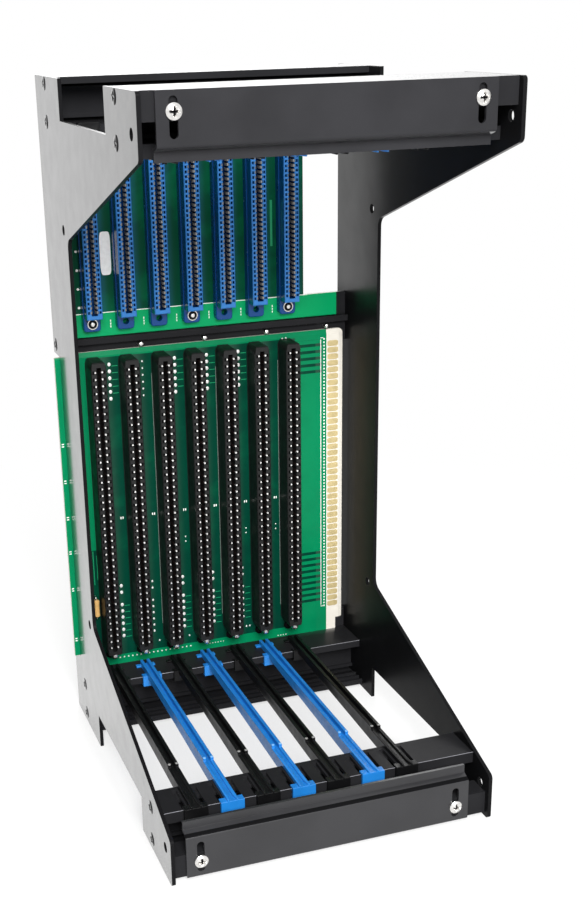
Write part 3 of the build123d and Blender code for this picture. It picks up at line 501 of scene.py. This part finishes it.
def headings(path):
    """Unit directions along a path, at each of its points."""
    along = np.gradient(path, axis=0)
    return along / np.linalg.norm(along, axis=1, keepdims=True)


def rod(radius, start, stop):
    """Profile of a plain rod, in millimetres."""
    return (0, start), (radius, start), (radius, stop), (0, stop)


def turned(centres, axis, profile, sides):
    """Turned shapes: at angle t and profile step k, centre + radius k (cos t, sin t) + height k
    along the axis, for every centre.  The profile starts and ends on the axis."""
    axis, across, up = frame_of(axis)
    radii, heights = np.array(profile, float).T[:, :, None] * MM
    angle = np.linspace(0, 2 * math.pi, sides, endpoint=False)[:, None, None]
    ring = np.cos(angle) * across + np.sin(angle) * up
    return np.asarray(centres)[:, None, None, :] + (radii * ring + heights * axis), True


def crossed(centres, axis, radius, crown, rim, turn, sides=40, rings=18):
    """Screw heads with a cross recess: at radius r and angle t the height is a low dome,
    rim + (crown - rim)(1 - (r/R)^2), less a cross-shaped pit with sloped walls."""
    axis, across, up = frame_of(axis)
    angle = np.linspace(0, 2 * math.pi, sides, endpoint=False)[:, None]
    share = np.linspace(1, 0, rings)[None, :]
    u, v = share * np.cos(angle + turn), share * np.sin(angle + turn)
    dome = rim + (crown - rim) * (1 - share ** 2)
    # Half width and half length of an arm of the cross, each with the width of its sloped wall
    arms = [np.clip((0.17 - np.abs(p)) / 0.06, 0, 1) * np.clip((0.62 - np.abs(q)) / 0.12, 0, 1)
            for p, q in ((u, v), (v, u))]
    arm = np.maximum(*arms)
    height = dome - 0.62 * crown * arm * (1 - 0.5 * share)
    height = np.concatenate([np.zeros((sides, 2)), height], axis=1)
    share = np.concatenate([np.zeros((sides, 1)), np.ones((sides, 1)), share * np.ones((sides, 1))], axis=1)
    flat = share * radius
    shape = ((flat * np.cos(angle))[..., None] * across + (flat * np.sin(angle))[..., None] * up
             + height[..., None] * axis)
    return np.asarray(centres)[:, None, None, :] + shape, True


def border(grid, value=None, by=0.0):
    """The grid with one more ring round it, which repeats its edge, or holds one value."""
    wide = np.pad(grid, 1, mode="edge")
    ring = np.ones(wide.shape, dtype=bool)
    ring[1:-1, 1:-1] = False
    wide[ring] = wide[ring] + by if value is None else value
    return wide


def stepped_block(centre, x_lines, z_lines, heights, rim, foot, corner):
    """Block that stands on the board, with a flat at its own height in each cell of a grid.

    Each inner grid line is taken twice, and the quads between its two copies are the upright
    walls of slots and wells.  Rings round the grid make the eased front edge, the foot and the
    underside, which is drawn together to a point.  The corners of the plan are cut off.
    """
    x, z = np.meshgrid(np.repeat(x_lines, 2)[1:-1], np.repeat(z_lines, 2)[1:-1], indexing="ij")
    h = np.repeat(np.repeat(heights, 2, axis=0), 2, axis=1)
    reach, lift = foot
    for out, level in ((rim, -rim), (0.0, lift), (reach, lift), (0.0, 0.0)):
        x, z = border(x), border(z)
        h = border(h, by=level) if level < 0 else border(h, value=level)
        x[0] -= out
        x[-1] += out
        z[:, 0] -= out
        z[:, -1] += out
    half = np.abs(x).max() - np.clip(np.abs(z) - np.abs(z).max() + corner, 0, None)
    x = np.clip(x, -half, half)
    x, z, h = border(x, value=0.0), border(z, value=0.0), border(h, value=0.0)
    return np.stack([centre[0] + x, BOARD_Y - h, centre[1] + z], axis=-1), False


def ribbons(places, path, width, thick):
    """Spring strips: a flat section, width by thick, carried along a path of (x, y) points that
    is mirrored by the side in places, whose rows are (x, z, side)."""
    path = np.asarray(path)
    along = headings(path)
    out = np.stack([-along[:, 1], along[:, 0]], axis=1) * thick / 2
    left, right = path + out, path - out
    edge = np.stack([left, left, right, right], axis=0)
    lift = np.array([-1, 1, 1, -1])[:, None] * width / 2
    edge = np.concatenate([edge.mean(0, keepdims=True).repeat(4, 0)[:, :1], edge,
                           edge.mean(0, keepdims=True).repeat(4, 0)[:, -1:]], axis=1)
    lift = np.concatenate([0 * lift, lift.repeat(len(path), 1), 0 * lift], axis=1)
    x, z, side = (column[:, None, None] for column in places.T)
    return np.stack([x + side * edge[..., 0], BOARD_Y + edge[..., 1] + 0 * side, z + lift], axis=-1), True


def patches(places, y, thick, sides=8):
    """Pads and marks: low pillows with an outline |u/a|^n + |v/b|^n = 1 that rise to thick.

    Rows of places are (x, z, a, b, n), with n 2 for a round pad and more for a squarer one.
    """
    x, z, a, b, n = (column[:, None, None] for column in np.asarray(places, float).T)
    angle = (np.arange(sides) + 0.5)[:, None] / sides * 2 * math.pi
    c, s = np.cos(angle), np.sin(angle)
    grow = (np.abs(c) ** n + np.abs(s) ** n) ** (-1 / n)
    share = np.array([0.0, 1.0, 1.0, 0.8, 0.0])
    rise = np.array([0.0, 0.0, 0.6, 1.0, 1.0]) * thick
    return np.stack([x + a * grow * c * share, (y - rise) + 0 * (x + grow),
                     z + b * grow * s * share], axis=-1), True


def slot_boxes(kind):
    """Boxes of the seven connectors of one kind, left to right, as two arrays of corners."""
    boxes = [node_box(f"{kind}_connector_{k + 1}") for k in range(SLOTS)]
    return np.array([low for low, _ in boxes]), np.array([high for _, high in boxes])


def contact_rows(kind, sizes, low, high):
    """Heights of the row of contacts in one connector, centred between its ends."""
    margin, pitch = getattr(sizes, f"{kind}_margin"), getattr(sizes, f"{kind}_pitch")
    ears = 2 * sizes.ear if kind == "upper" else 0.0
    count = int(round((high[2] - low[2] - ears - 2 * margin) / pitch)) + 1
    return (low[2] + high[2]) / 2 + (np.arange(count) - (count - 1) / 2) * pitch


def spread(*groups):
    """Rows for patches, in metres: every x of a group with every z of it, from the middle plane and
    the floor in millimetres, and then the group's half sizes and power."""
    rows = np.array([(x, z, *shape) for xs, zs, *shape in groups
                     for x in np.atleast_1d(xs) for z in np.atleast_1d(zs)], float)
    rows[:, :4] *= MM
    rows[:, 0] += MIDDLE_X
    return rows


def housing(centre, half, height, rows, lines, slot, notch, well, foot, corner):
    """Card-edge housing: a stepped block with a card slot down its middle, and a notch and a well
    on both sides of the slot at every contact.

    lines are the grid lines right of the middle, slot is (depth, end margin), notch and well are
    (depth, half length) and foot is (reach, lift), all in millimetres like the cut corner.
    """
    rim = 0.5 * MM
    lines, slot, notch, well, foot = (np.array(part) * MM for part in (lines, slot, notch, well, foot))
    x_lines = np.concatenate([[rim - half[0]], -lines[::-1], lines, [half[0] - rim]])
    spans = np.stack([rows - notch[1], rows + notch[1]], axis=1).ravel()
    z_lines = np.concatenate([[rim - half[1]], [rows[0] - slot[1]], spans, [rows[-1] + slot[1]],
                              [half[1] - rim]])
    heights = np.full((len(x_lines) - 1, len(z_lines) - 1), height)
    heights[4, 1:-1] -= slot[0]
    heights[3:6:2, 2:-1:2] -= notch[0]
    heights[1:8:6, 2:-1:2] -= well[0]
    return stepped_block(centre, x_lines, z_lines, heights, rim, foot, corner * MM)


def ear_plate(hole, outward, sizes, half_width, reach):
    """Mounting ear round a screw hole: an outline |u/a|^6 + |v/b|^6 = 1, longer on the side of
    the body, carried up to an eased edge, over to the hole and down through it."""
    angle = np.linspace(0, 2 * math.pi, 48, endpoint=False)
    c, s = np.cos(angle), np.sin(angle)
    b = np.where(s * outward > 0, sizes.ear_hole, reach)
    grow = ((np.abs(c) / half_width) ** 6 + (np.abs(s) / b) ** 6) ** (-1 / 6)
    top, rim, bore = sizes.ear_height, 0.4 * MM, 1.7 * MM
    radius = np.stack([grow, grow, grow - rim, 0 * grow + bore + 0.2 * MM, 0 * grow + bore, 0 * grow + bore,
                       grow], axis=1)
    rise = np.array([0, top - rim, top, top, top - 0.2 * MM, 0, 0])
    return np.stack([hole[0] + radius * c[:, None], BOARD_Y - rise + 0 * radius,
                     hole[1] + radius * s[:, None]], axis=-1), True


def connectors(kind, finish, material_slot, sizes, half_width, **shape):
    """Housings of the connectors of one kind, the upper ones with an ear at both ends; gives the
    rows (x, z, side) of the contacts on both sides of their card slots."""
    contacts = []
    for k, (low, high) in enumerate(zip(*slot_boxes(kind))):
        x, _, z = (low + high) / 2
        rows = contact_rows(kind, sizes, low, high)
        ear = sizes.ear if kind == "upper" else 0.0
        half = (half_width, (high[2] - low[2]) / 2 - ear)
        shells = [housing((x, z), half, BOARD_Y - low[1], rows - z, **shape)]
        if ear:
            for hole, outward in ((low[2] + sizes.ear_hole, -1), (high[2] - sizes.ear_hole, 1)):
                shells.append(ear_plate((x, hole), outward, sizes, 4.8 * MM, 5.5 * MM))
        put(f"{kind}_housing_{k + 1}", shells, finish, (f"{kind}_connector_{k + 1}",))
        contacts += [(x, row, side) for side in (-1, 1) for row in rows]
    return np.array(contacts)


def tube(path, radius, sides=10):
    """Round wire: a circle carried along a path of points that lies in one plane of x."""
    path = np.asarray(path, float)
    across = np.array(RIGHT)
    up = np.cross(headings(path), across)
    angle = np.linspace(0, 2 * math.pi, sides, endpoint=False)[:, None, None]
    ring = path + radius * (np.cos(angle) * across + np.sin(angle) * up)
    ends = [np.broadcast_to(path[k], (sides, 1, 3)) for k in (0, -1)]
    return np.concatenate([ends[0], ring, ends[1]], axis=1), True


class CAGE_OT_metalwork(bpy.types.Operator):
    """Side plates, rails and retainer bars in black anodised aluminium with eased edges"""

    bl_idname = "cage.metalwork"
    bl_label = "Metalwork"

    def execute(self, context):
        colour, edge = context.scene.cage_colours.metal, context.scene.cage_sizes.edge
        plate = anodised_metal("black_anodised_plate", darker(colour, 0.3), 0.45, rolled=True)
        for side in ("left", "right"):
            eased(f"{side}_side_plate", plate, edge)
        rail = anodised_metal("black_anodised_extrusion", darker(colour, 0.7), 0.03)
        for node in ("middle", "top_front", "bottom_front", "top_rear", "bottom_rear"):
            eased(f"{node}_rail", rail, edge)
        # The bottom bar gets a band of painted shade across its fold
        for end, shine, fold_shade in (("bottom", 0.4, FOLD_SHADE_Z), ("top", 0.05, None)):
            # The bars take the full metal colour, lighter than the plates and rails: on the bottom bar this is
            # painted light, for the bounce from the floor
            strip = anodised_metal(f"black_anodised_{end}_strip", colour, shine, fold_shade=fold_shade)
            eased(f"{end}_retainer_bar", strip, edge, f"{end}_retainer")
        # Painted highlight: bright aluminium rods along the front edges of the lower decks, for the light those
        # edges catch
        rods = []
        for node, front in DECK_FRONTS.items():
            low, high = node_box(node)
            start = [(low[0], FRONT_Y + front * MM, DECK_TOP_Z * MM)]
            rods.append(turned(start, RIGHT, rod(0.16, 0, (high[0] - low[0]) / MM), 8))
        pale_part = bright_metal("edge_highlight_aluminium", darker(colour, 14.0), 0.4, 0.6)
        put("edge_highlight_rods", rods, pale_part)
        return {"FINISHED"}


class CAGE_OT_guides(bpy.types.Operator):
    """Card guides in black and blue nylon by turns, with eased edges"""

    bl_idname = "cage.guides"
    bl_label = "Card guides"

    def execute(self, context):
        colours, edge = context.scene.cage_colours, context.scene.cage_sizes.moulded_edge
        # Nylon, injection moulded: even colour with a waxy sheen
        finishes = (moulded("black_nylon", colours.black_guide, 0.36, gloss=0.2),
                    moulded("blue_nylon", colours.blue_guide, 0.36))
        for k in range(SLOTS):
            for end in ("bottom", "top"):
                eased(f"{end}_card_guide_{k + 1}", finishes[k % 2], edge)
        # Painted highlight: pale domes at the small nubs where the ridges step up, for the light the nubs catch
        highlight_colours = (("black", darker(colours.tin, 0.3)), ("blue", colours.blue_guide_highlight))
        for k, (name, pale) in enumerate(highlight_colours):
            nubs = []
            for end, up in (("bottom", 1.0), ("top", -1.0)):
                centres = []
                for n in range(k, SLOTS, 2):
                    low, high = node_box(f"{end}_card_guide_{n + 1}")
                    ridge = (high[2] if up > 0 else low[2]) - 0.05 * MM * up
                    centres += [((low[0] + high[0]) / 2 + side * NUB_SPREAD * MM, FRONT_Y + NUB_Y * MM, ridge)
                                for side in (-1, 1)]
                nubs.append(turned(centres, (0.0, 0.0, up), NUB, 12))
            put(f"{name}_guide_nubs", nubs, matt(f"highlighted_{name}_nylon", pale, 0.4))
        return {"FINISHED"}


class CAGE_OT_backplanes(bpy.types.Operator):
    """Backplanes in glass epoxy under green solder mask"""

    bl_idname = "cage.backplanes"
    bl_label = "Backplanes"

    def execute(self, context):
        colours = context.scene.cage_colours
        dress("lower_backplane", board(
            "lower_board_solder_mask", colours.mask, colours.mask_copper, colours.painted_reflection, colours.bare_board,
            [(-72.5, 52, 36, 219), (-84.5, -72.5, 36, 105)], [(52, 69, 195, 217), (52, 69, 50, 85)], 71.9))
        dress("upper_backplane", board(
            "upper_board_solder_mask", colours.upper_mask, colours.upper_copper, colours.upper_painted_reflection,
            colours.bare_board, [(-90, 60, 244, 345)], [], 90))
        return {"FINISHED"}


class CAGE_OT_lower_connectors(bpy.types.Operator):
    """Black card-edge connectors with a well and a sprung contact on both sides of every row"""

    bl_idname = "cage.lower_connectors"
    bl_label = "Lower connectors"

    def execute(self, context):
        colours, sizes = context.scene.cage_colours, context.scene.cage_sizes
        # Glass-filled thermoplastic, moulded: matt black with a grey bloom
        plastic = moulded("black_thermoplastic", colours.black_plastic, 0.42, 0.6 * MM, 0.01 * MM, 0.3)
        lows, highs = slot_boxes("lower")
        springs = connectors("lower", plastic, "black_connector", sizes, (highs[0][0] - lows[0][0]) / 2,
                             lines=(1.3, 2.35, 2.75, 3.6), slot=(9, 2.6), notch=(1.4, 0.95), well=(3, 0.95),
                             foot=(0.2, 0.7), corner=1.6)
        path = np.array([(1.15, -6.0), (0.7, -9.8), (0.95, -11.2), (1.3, -12.2), (1.6, -12.8)]) * MM
        tin = bright_metal("tinned_bronze", colours.tin, 0.3, 0.5)
        x, z, side = springs.T
        noses = np.stack([x + 2.0 * MM * side, z, 0 * x + 0.6 * MM, 0 * x + 0.62 * MM, 0 * x + 2], axis=1)
        put("lower_contacts", [patches(noses, BOARD_Y - 12.6 * MM, 1.35 * MM, 10)], tin)
        # Phosphor bronze springs deep in the slots, painted dark as shade for the dark inside of the slots
        spring_shade = bright_metal("shaded_bronze", colours.spring_shade, 0.5, 0.3)
        put("lower_springs", [ribbons(springs, path, 1.3 * MM, 0.3 * MM)], spring_shade)
        # Painted highlight: a thin pale rod along the left foot of three housings, for the light their foot
        # edge catches
        feet = [(lows[k][0] - 0.3 * MM, BOARD_Y - 0.15 * MM, lows[k][2] + 10 * MM) for k in (2, 4, 6)]
        highlight_rods = turned(feet, UP, rod(0.16, 0, 155), 8)
        put("foot_highlight_rods", [highlight_rods], matt("foot_highlight_paint", colours.foot_highlight, 0.4))
        # Nickel-plated rivets at the lower ends of the housings
        ends = [((low[0] + high[0]) / 2, low[1] + 3 * MM, low[2] - 0.5 * MM)
                for low, high in zip(lows, highs)]
        put("housing_rivets", [turned(ends, FRONT, RIVET, 20)], nickel_steel(colours))
        return {"FINISHED"}


class CAGE_OT_upper_connectors(bpy.types.Operator):
    """Blue card-edge connectors with ears, wells and sprung contacts"""

    bl_idname = "cage.upper_connectors"
    bl_label = "Upper connectors"

    def execute(self, context):
        colours, sizes = context.scene.cage_colours, context.scene.cage_sizes
        front = slot_boxes("upper")[0][0][1]
        # Polyester thermoplastic, moulded: clear mid blue with a soft sheen
        # Behind the front face the housings take a painted shade
        plastic = moulded("blue_thermoplastic", colours.blue_plastic, 0.2, gloss=0.15,
                          shaded=(front, colours.blue_wall_shade))
        springs = connectors("upper", plastic, "blue_connector", sizes, 4.4 * MM,
                             lines=(1.75, 2.3, 2.65, 3.75), slot=(9, 1.8), notch=(1.2, 0.75), well=(3, 0.8),
                             foot=(0.4, sizes.ear_height / MM), corner=0.0)
        path = np.array([(1.6, -6.0), (0.75, -9.6), (0.9, -11.0), (1.5, -12.2), (2.1, -12.4)]) * MM
        tin = bright_metal("tinned_springs", darker(colours.tin, 0.3), 0.3, 0.5)
        put("upper_contacts", [ribbons(springs, path, 1.4 * MM, 0.25 * MM)], tin)
        return {"FINISHED"}


class CAGE_OT_screws(bpy.types.Operator):
    """Screw heads: cross recess on the bars and plates, washers on the ears, domes on the boards"""

    bl_idname = "cage.screws"
    bl_label = "Screws"

    def execute(self, context):
        colours, sizes = context.scene.cage_colours, context.scene.cage_sizes
        steel = nickel_steel(colours)
        # The plates' black finish: also on their low heads and on the domes, and as painted shade on the floors
        # of the cross recesses and in the washers' wells round the ear screws
        metal = bpy.data.materials["black_anodised_plate"]
        for end in ("bottom", "top"):
            low, high = node_box(f"{end}_retainer_screws")
            radius = (high[2] - low[2]) / 2
            crown = 2.2 * MM
            seat = low[1] + crown
            centres = [(x, seat, (low[2] + high[2]) / 2) for x in (low[0] + radius, high[0] - radius)]
            heads = crossed(centres, FRONT, radius, crown, 0.9 * MM, 0.0)
            reach = (high[1] - seat) / MM
            shanks = turned(centres, BACK, rod(1.6, -0.1 * reach, reach), 24)
            put(f"{end}_retainer_pan_heads", [heads, shanks], steel,
                (f"{end}_retainer_screws",))
            # Painted shade: dark bars on the floor of each cross recess
            bars = np.array([(x, z, *arm, 60) for x, _, z in centres
                             for arm in ((0.5 * radius, 0.13 * radius), (0.13 * radius, 0.5 * radius))])
            put(f"{end}_recess_shade", [patches(bars, seat - 0.86 * MM, 0.15 * MM, 4)], metal)
        for side, name in ((-1, "left"), (1, "right")):
            low, high = node_box(f"{name}_plate_screws")
            face = high[0] if side < 0 else low[0]
            centres = [(face, FRONT_Y + y * MM, z * MM) for y, z in PLATE_SCREWS]
            heads = crossed(centres, (float(side), 0.0, 0.0), 3.5 * MM, high[0] - low[0], 0.2 * MM, 0.3)
            put(f"{name}_plate_heads", [heads], metal, (f"{name}_plate_screws",))
        lows, highs = slot_boxes("upper")
        centres = [((low[0] + high[0]) / 2, BOARD_Y - sizes.ear_height, z)
                   for low, high in zip(lows[::3], highs[::3])
                   for z in (low[2] + sizes.ear_hole, high[2] - sizes.ear_hole)]
        heads = [turned(centres, FRONT, WASHER, 32), turned(centres, FRONT, EAR_HEAD, 24)]
        put("ear_screws", heads, steel, ("upper_connector_screws",))
        # Painted shade: a dark disc in the dish of each washer, round the head
        put("ear_screw_shade_discs", [turned(centres, FRONT, rod(2.28, 0.3, 0.5), 32)], metal)
        low, high = node_box("lower_backplane_screws")
        lows, highs = slot_boxes("lower")
        centres = [(x, BOARD_Y, (low[2] + high[2]) / 2) for x in (lows[:, 0] + highs[:, 0]) / 2]
        domes = turned(centres, FRONT, DOME, 24)
        put("board_dome_heads", [domes], metal, ("lower_backplane_screws",))
        low, high = node_box("middle_rail_screws")
        radius = (high[2] - low[2]) / 2
        centres = [(x, high[1], (low[2] + high[2]) / 2)
                   for x in np.linspace(low[0] + radius, high[0] - radius, 4)]
        r = radius / MM
        pin = ((0, 0), (r, 0), (r, 3.6), (0.8 * r, 4.2), (0.4 * r, 4.45), (0, 4.5))
        pins = turned(centres, FRONT, pin, 20)
        put("middle_rail_pins", [pins], steel, ("middle_rail_screws",))
        return {"FINISHED"}


class CAGE_OT_fingers(bpy.types.Operator):
    """Gold contact fingers along the right edge of the lower board"""

    bl_idname = "cage.fingers"
    bl_label = "Edge fingers"

    def execute(self, context):
        colours, sizes = context.scene.cage_colours, context.scene.cage_sizes
        rows = contact_rows("lower", sizes, *node_box("lower_connector_1"))
        middle = MIDDLE_X + (sizes.finger_left + sizes.finger_right) / 2
        half = (sizes.finger_right - sizes.finger_left) / 2
        ones = np.ones(len(rows))
        bars = np.stack([middle * ones, rows, half * ones, 1.72 * MM * ones, 12 * ones], axis=1)
        gold = bright_metal("gold_plating", colours.gold, 0.4, 0.35)
        put("edge_fingers", [patches(bars, BOARD_Y, 0.05 * MM, 16)], gold)
        return {"FINISHED"}


class CAGE_OT_board_marks(bpy.types.Operator):
    """Solder pads and joints, plain marks and a blank label on the boards"""

    bl_idname = "cage.board_marks"
    bl_label = "Board marks"

    def execute(self, context):
        colours, sizes = context.scene.cage_colours, context.scene.cage_sizes
        solder = bright_metal("solder", colours.tin, 0.35, 0.3)
        joints = []
        for kind in ("lower", "upper"):
            back = node_box(f"{kind}_backplane")[1][1]
            for low, high in zip(*slot_boxes(kind)):
                joints += [((low[0] + high[0]) / 2 + side * 2.5 * MM, back, z) for side in (-1, 1)
                           for z in contact_rows(kind, sizes, low, high)]
        put("back_solder_joints", [turned(joints, BACK, JOINT, 8)], solder)
        lows, highs = slot_boxes("lower")
        slots = (lows[:, 0] + highs[:, 0]) / 2 / MM - MIDDLE_X / MM
        # Slots with large pads on their right, and the heights of the pads above and below
        padded = slots[[0, 2, 3, 4]]
        above, below = np.linspace(214.6, 194.9, 6), (80.5, 76.3, 68.3, 64.2, 60.2, 56.1, 52.1, 48.0)
        pads = spread(
            (padded + 9.2, above, 0.95, 1.1, 2), (slots[1] + 9.2, above, 0.5, 0.6, 2),
            *((slots[k] + 9.0, below, r, 1.2 * r, 2) for k, r in enumerate((0.95, 0.6, 0.9, 0.85, 0.6))),
            (np.linspace(-62.5, -17.9, 18), 34.0, 0.5, 0.5, 2),
            (np.linspace(-7.2, 3.3, 7), 33.6, 0.35, 0.35, 2),
            (np.linspace(39.3, 44.6, 4), 31.2, 0.4, 0.4, 2), ((-37.4, -18.4, 18.5, 20.7), 41.2, 0.5, 0.6, 2),
            (-74.1, (278.2, 268.0, 257.8, 247.6), 0.75, 0.75, 2), (44.2, 219.6, 0.5, 0.5, 2),
            (46.4, 219.9, 0.5, 0.5, 2))
        # Bars and dots beside the connectors, on the overhang and along the fingers, then outlines
        overhang = np.array([171.4, 149.7, 127.6, 106.4, 83.1, 51.0])
        ink = spread(
            (np.add.outer(slots[:-1], (11.2, 12.4)).ravel(), 123.0, 0.35, 0.75, 8),
            (slots[[2, 4, 5]] + 11.8, (106.0, 103.0), 0.4, 0.4, 2),
            (-88.4, np.add.outer(overhang, (0.0, -1.4)).ravel(), 0.7, 0.35, 8),
            (70.4, np.arange(46.7, 218.0, 1.98), 0.45, 0.5, 8), (68.3, 132.2, 0.2, 85.6, 60),
            (69.0, (217.8, 46.6), 0.9, 0.2, 20), (slots[:-1] + 11.5, (235.9, 237.5, 239.1), 0.25, 0.6, 8),
            (-11.7, 244.0, 72.5, 0.2, 60))
        traces = spread(
            (padded + 12.3, np.linspace(213.6, 197.9, 5), 1.8, 0.2, 20),
            (padded + 12.0, (67.4, 63.3, 59.3, 55.2, 51.2, 47.1), 1.7, 0.2, 20), (38.3, 285.9, 0.7, 13.2, 20),
            (-75.2, 94.0, 0.3, 11.0, 20), (-73.2, 94.0, 0.2, 8.0, 20))
        for name, rows, thick, finish in (
                ("solder_pads", pads, 0.25, solder),
                ("printed_marks", ink, 0.03, matt("marking_ink", colours.ink, 0.5)),
                ("pale_traces", traces, 0.03, matt("masked_trace", darker(colours.mask, 1.35), 0.35))):
            # Four corners make a bar, eight make a dot
            kinds = ((rows[rows[:, 4] > 2], 4), (rows[rows[:, 4] == 2], 8))
            shells = [patches(part, BOARD_Y, thick * MM, sides) for part, sides in kinds if len(part)]
            put(name, shells, finish)
        label = spread((-57.8, 276.1, 3.0, 11.7, 6))
        paper = matt("blank_paper_label", colours.paper, 0.6)
        put("blank_label", [patches(label, BOARD_Y, 0.1 * MM, 40)], paper)
        return {"FINISHED"}


class CAGE_OT_resistor(bpy.types.Operator):
    """Amber resistor on two bent leads"""

    bl_idname = "cage.resistor"
    bl_label = "Resistor"

    def execute(self, context):
        colours = context.scene.cage_colours
        low, high = node_box("end_resistor")
        x, z = (low[0] + high[0]) / 2, (low[2] + high[2]) / 2
        y = low[1] + 2.0 * MM
        # Epoxy-dipped film resistor: amber, glossy, a little thicker at its ends
        epoxy = moulded("amber_epoxy", colours.amber, 0.25)
        body = turned([(x, y, z)], UP, RESISTOR, 28)
        put("resistor_body", [body], epoxy, ("end_resistor",))
        leads = []
        radius, reach = 0.8 * MM, 6.3 * MM
        turn = np.linspace(0, math.pi / 2, 8)
        for end in (-1, 1):
            bend = np.stack([0 * turn + x, y + radius * (1 - np.cos(turn)),
                             z + end * (reach + radius * np.sin(turn))], axis=1)
            start, stop = (x, y, z + end * 5 * MM), (x, BOARD_Y, z + end * (reach + radius))
            leads.append(tube(np.concatenate([[start], bend, [stop]]), 0.38 * MM))
        put("resistor_leads", leads, nickel_steel(colours))
        return {"FINISHED"}


class CAGE_OT_stage(bpy.types.Operator):
    """Pale floor, soft studio light and the camera"""

    bl_idname = "cage.stage"
    bl_label = "Stage"

    def execute(self, context):
        scene = context.scene
        scene.view_settings.view_transform = "Standard"
        half = 3.0
        mesh = bpy.data.meshes.new("floor")
        corners = [(-half, -half, 0), (half, -half, 0), (half, half, 0), (-half, half, 0)]
        mesh.from_pydata(corners, [], [(0, 1, 2, 3)])
        floor = linked("floor", mesh)
        floor.location.z = CAD_BOX[0][2]
        # Painted studio floor: matt near-white, lifted towards white for the eye and in reflections
        values = {"Base Color": scene.cage_colours.floor, "Roughness": 0.9, "Specular IOR Level": 0.0}
        paint, tree, body, where = surface("floor_paint", values)
        away = add(tree, "ShaderNodeVectorMath", links={0: where}, operation="LENGTH")
        lift = add(tree, "ShaderNodeMapRange",
                   {"From Min": 0.15, "From Max": 0.6, "To Min": 0.6, "To Max": 1.0},
                   {"Value": away.outputs["Value"]}, interpolation_type="SMOOTHSTEP")
        share = combined(tree, "MULTIPLY", seen(tree), lift)
        white = add(tree, "ShaderNodeEmission", {"Color": (1.0, 1.0, 1.0, 1.0), "Strength": 1.0})
        both = add(tree, "ShaderNodeMixShader", None,
                   {0: share, 1: body.outputs["BSDF"], 2: white.outputs["Emission"]})
        tree.links.new(both.outputs["Shader"], tree.nodes["Material Output"].inputs["Surface"])
        mesh.materials.append(paint)
        world = bpy.data.worlds.new("studio")
        world.use_nodes = True
        tree = world.node_tree
        tree.nodes.clear()
        level = add(tree, "ShaderNodeMapRange", {"To Min": 0.32, "To Max": 1.0}, {"Value": seen(tree)})
        sky = add(tree, "ShaderNodeBackground", {"Color": (1.0, 1.0, 1.0, 1.0)},
                  {"Strength": level})
        add(tree, "ShaderNodeOutputWorld", links={"Surface": sky.outputs["Background"]})
        scene.world = world
        for name, where, aim, width, power in SOFTBOXES:
            lamp = bpy.data.lights.new(name, "AREA")
            lamp.shape = "DISK"
            lamp.size = width
            lamp.energy = power
            light = linked(name, lamp)
            light.visible_camera = False
            aim_at(light, where, aim)
        lens = bpy.data.cameras.new("photo_camera")
        lens.sensor_width = 36.0
        lens.lens = CAMERA_LENS
        lens.shift_x, lens.shift_y = CAMERA_SHIFT
        lens.clip_start = 0.01
        lens.clip_end = 20.0
        camera = linked("photo_camera", lens)
        x, y, z = (value * MM for value in CAMERA_AT)
        stand(camera, (MIDDLE_X + x, FRONT_Y + y, z), *CAMERA_TURN)
        scene.camera = camera
        return {"FINISHED"}


def set_axes(thing, where, right, up, back):
    """Put an object at a place with its own x, y and z along three directions."""
    turn = np.eye(4)
    turn[:3, 0], turn[:3, 1], turn[:3, 2], turn[:3, 3] = right, up, back, where
    thing.matrix_world = Matrix(turn.tolist())


def aim_at(light, where, aim):
    """Turn a lamp so that it shines from one point to another."""
    back = np.array(where) - np.array(aim)
    back /= np.linalg.norm(back)
    right = np.cross(UP, back)
    right /= np.linalg.norm(right)
    set_axes(light, where, right, np.cross(back, right), back)


def stand(camera, where, azimuth, elevation, roll):
    """Turn the camera by its azimuth from +Y, its downward tilt and its roll, in degrees."""
    a, e, r = (math.radians(angle) for angle in (azimuth, elevation, roll))
    ahead = np.array([-math.sin(a) * math.cos(e), math.cos(a) * math.cos(e), -math.sin(e)])
    right = np.cross(ahead, UP)
    right /= np.linalg.norm(right)
    up = np.cross(right, ahead)
    rolled_right = math.cos(r) * right + math.sin(r) * up
    rolled_up = math.cos(r) * up - math.sin(r) * right
    set_axes(camera, where, rolled_right, rolled_up, -ahead)


class VIEW3D_PT_card_cage(bpy.types.Panel):
    """Lists the steps that dress the cage"""

    bl_label = "Card cage"
    bl_space_type = "VIEW_3D"
    bl_region_type = "UI"
    bl_category = "Card cage"

    def draw(self, context):
        for step in STEPS:
            self.layout.operator(step.bl_idname)


STEPS = (CAGE_OT_metalwork, CAGE_OT_guides, CAGE_OT_backplanes, CAGE_OT_lower_connectors,
         CAGE_OT_upper_connectors, CAGE_OT_screws, CAGE_OT_fingers, CAGE_OT_board_marks, CAGE_OT_resistor,
         CAGE_OT_stage)
CLASSES = (CageColours, CageSizes) + STEPS + (VIEW3D_PT_card_cage,)


def register():
    for kind in CLASSES:
        bpy.utils.register_class(kind)
    bpy.types.Scene.cage_colours = bpy.props.PointerProperty(type=CageColours)
    bpy.types.Scene.cage_sizes = bpy.props.PointerProperty(type=CageSizes)


def unregister():
    del bpy.types.Scene.cage_sizes
    del bpy.types.Scene.cage_colours
    for kind in reversed(CLASSES):
        bpy.utils.unregister_class(kind)


def main():
    register()
    for step in STEPS:
        group, name = step.bl_idname.split(".")
        getattr(getattr(bpy.ops, group), name)()


if __name__ == "__main__":
    main()
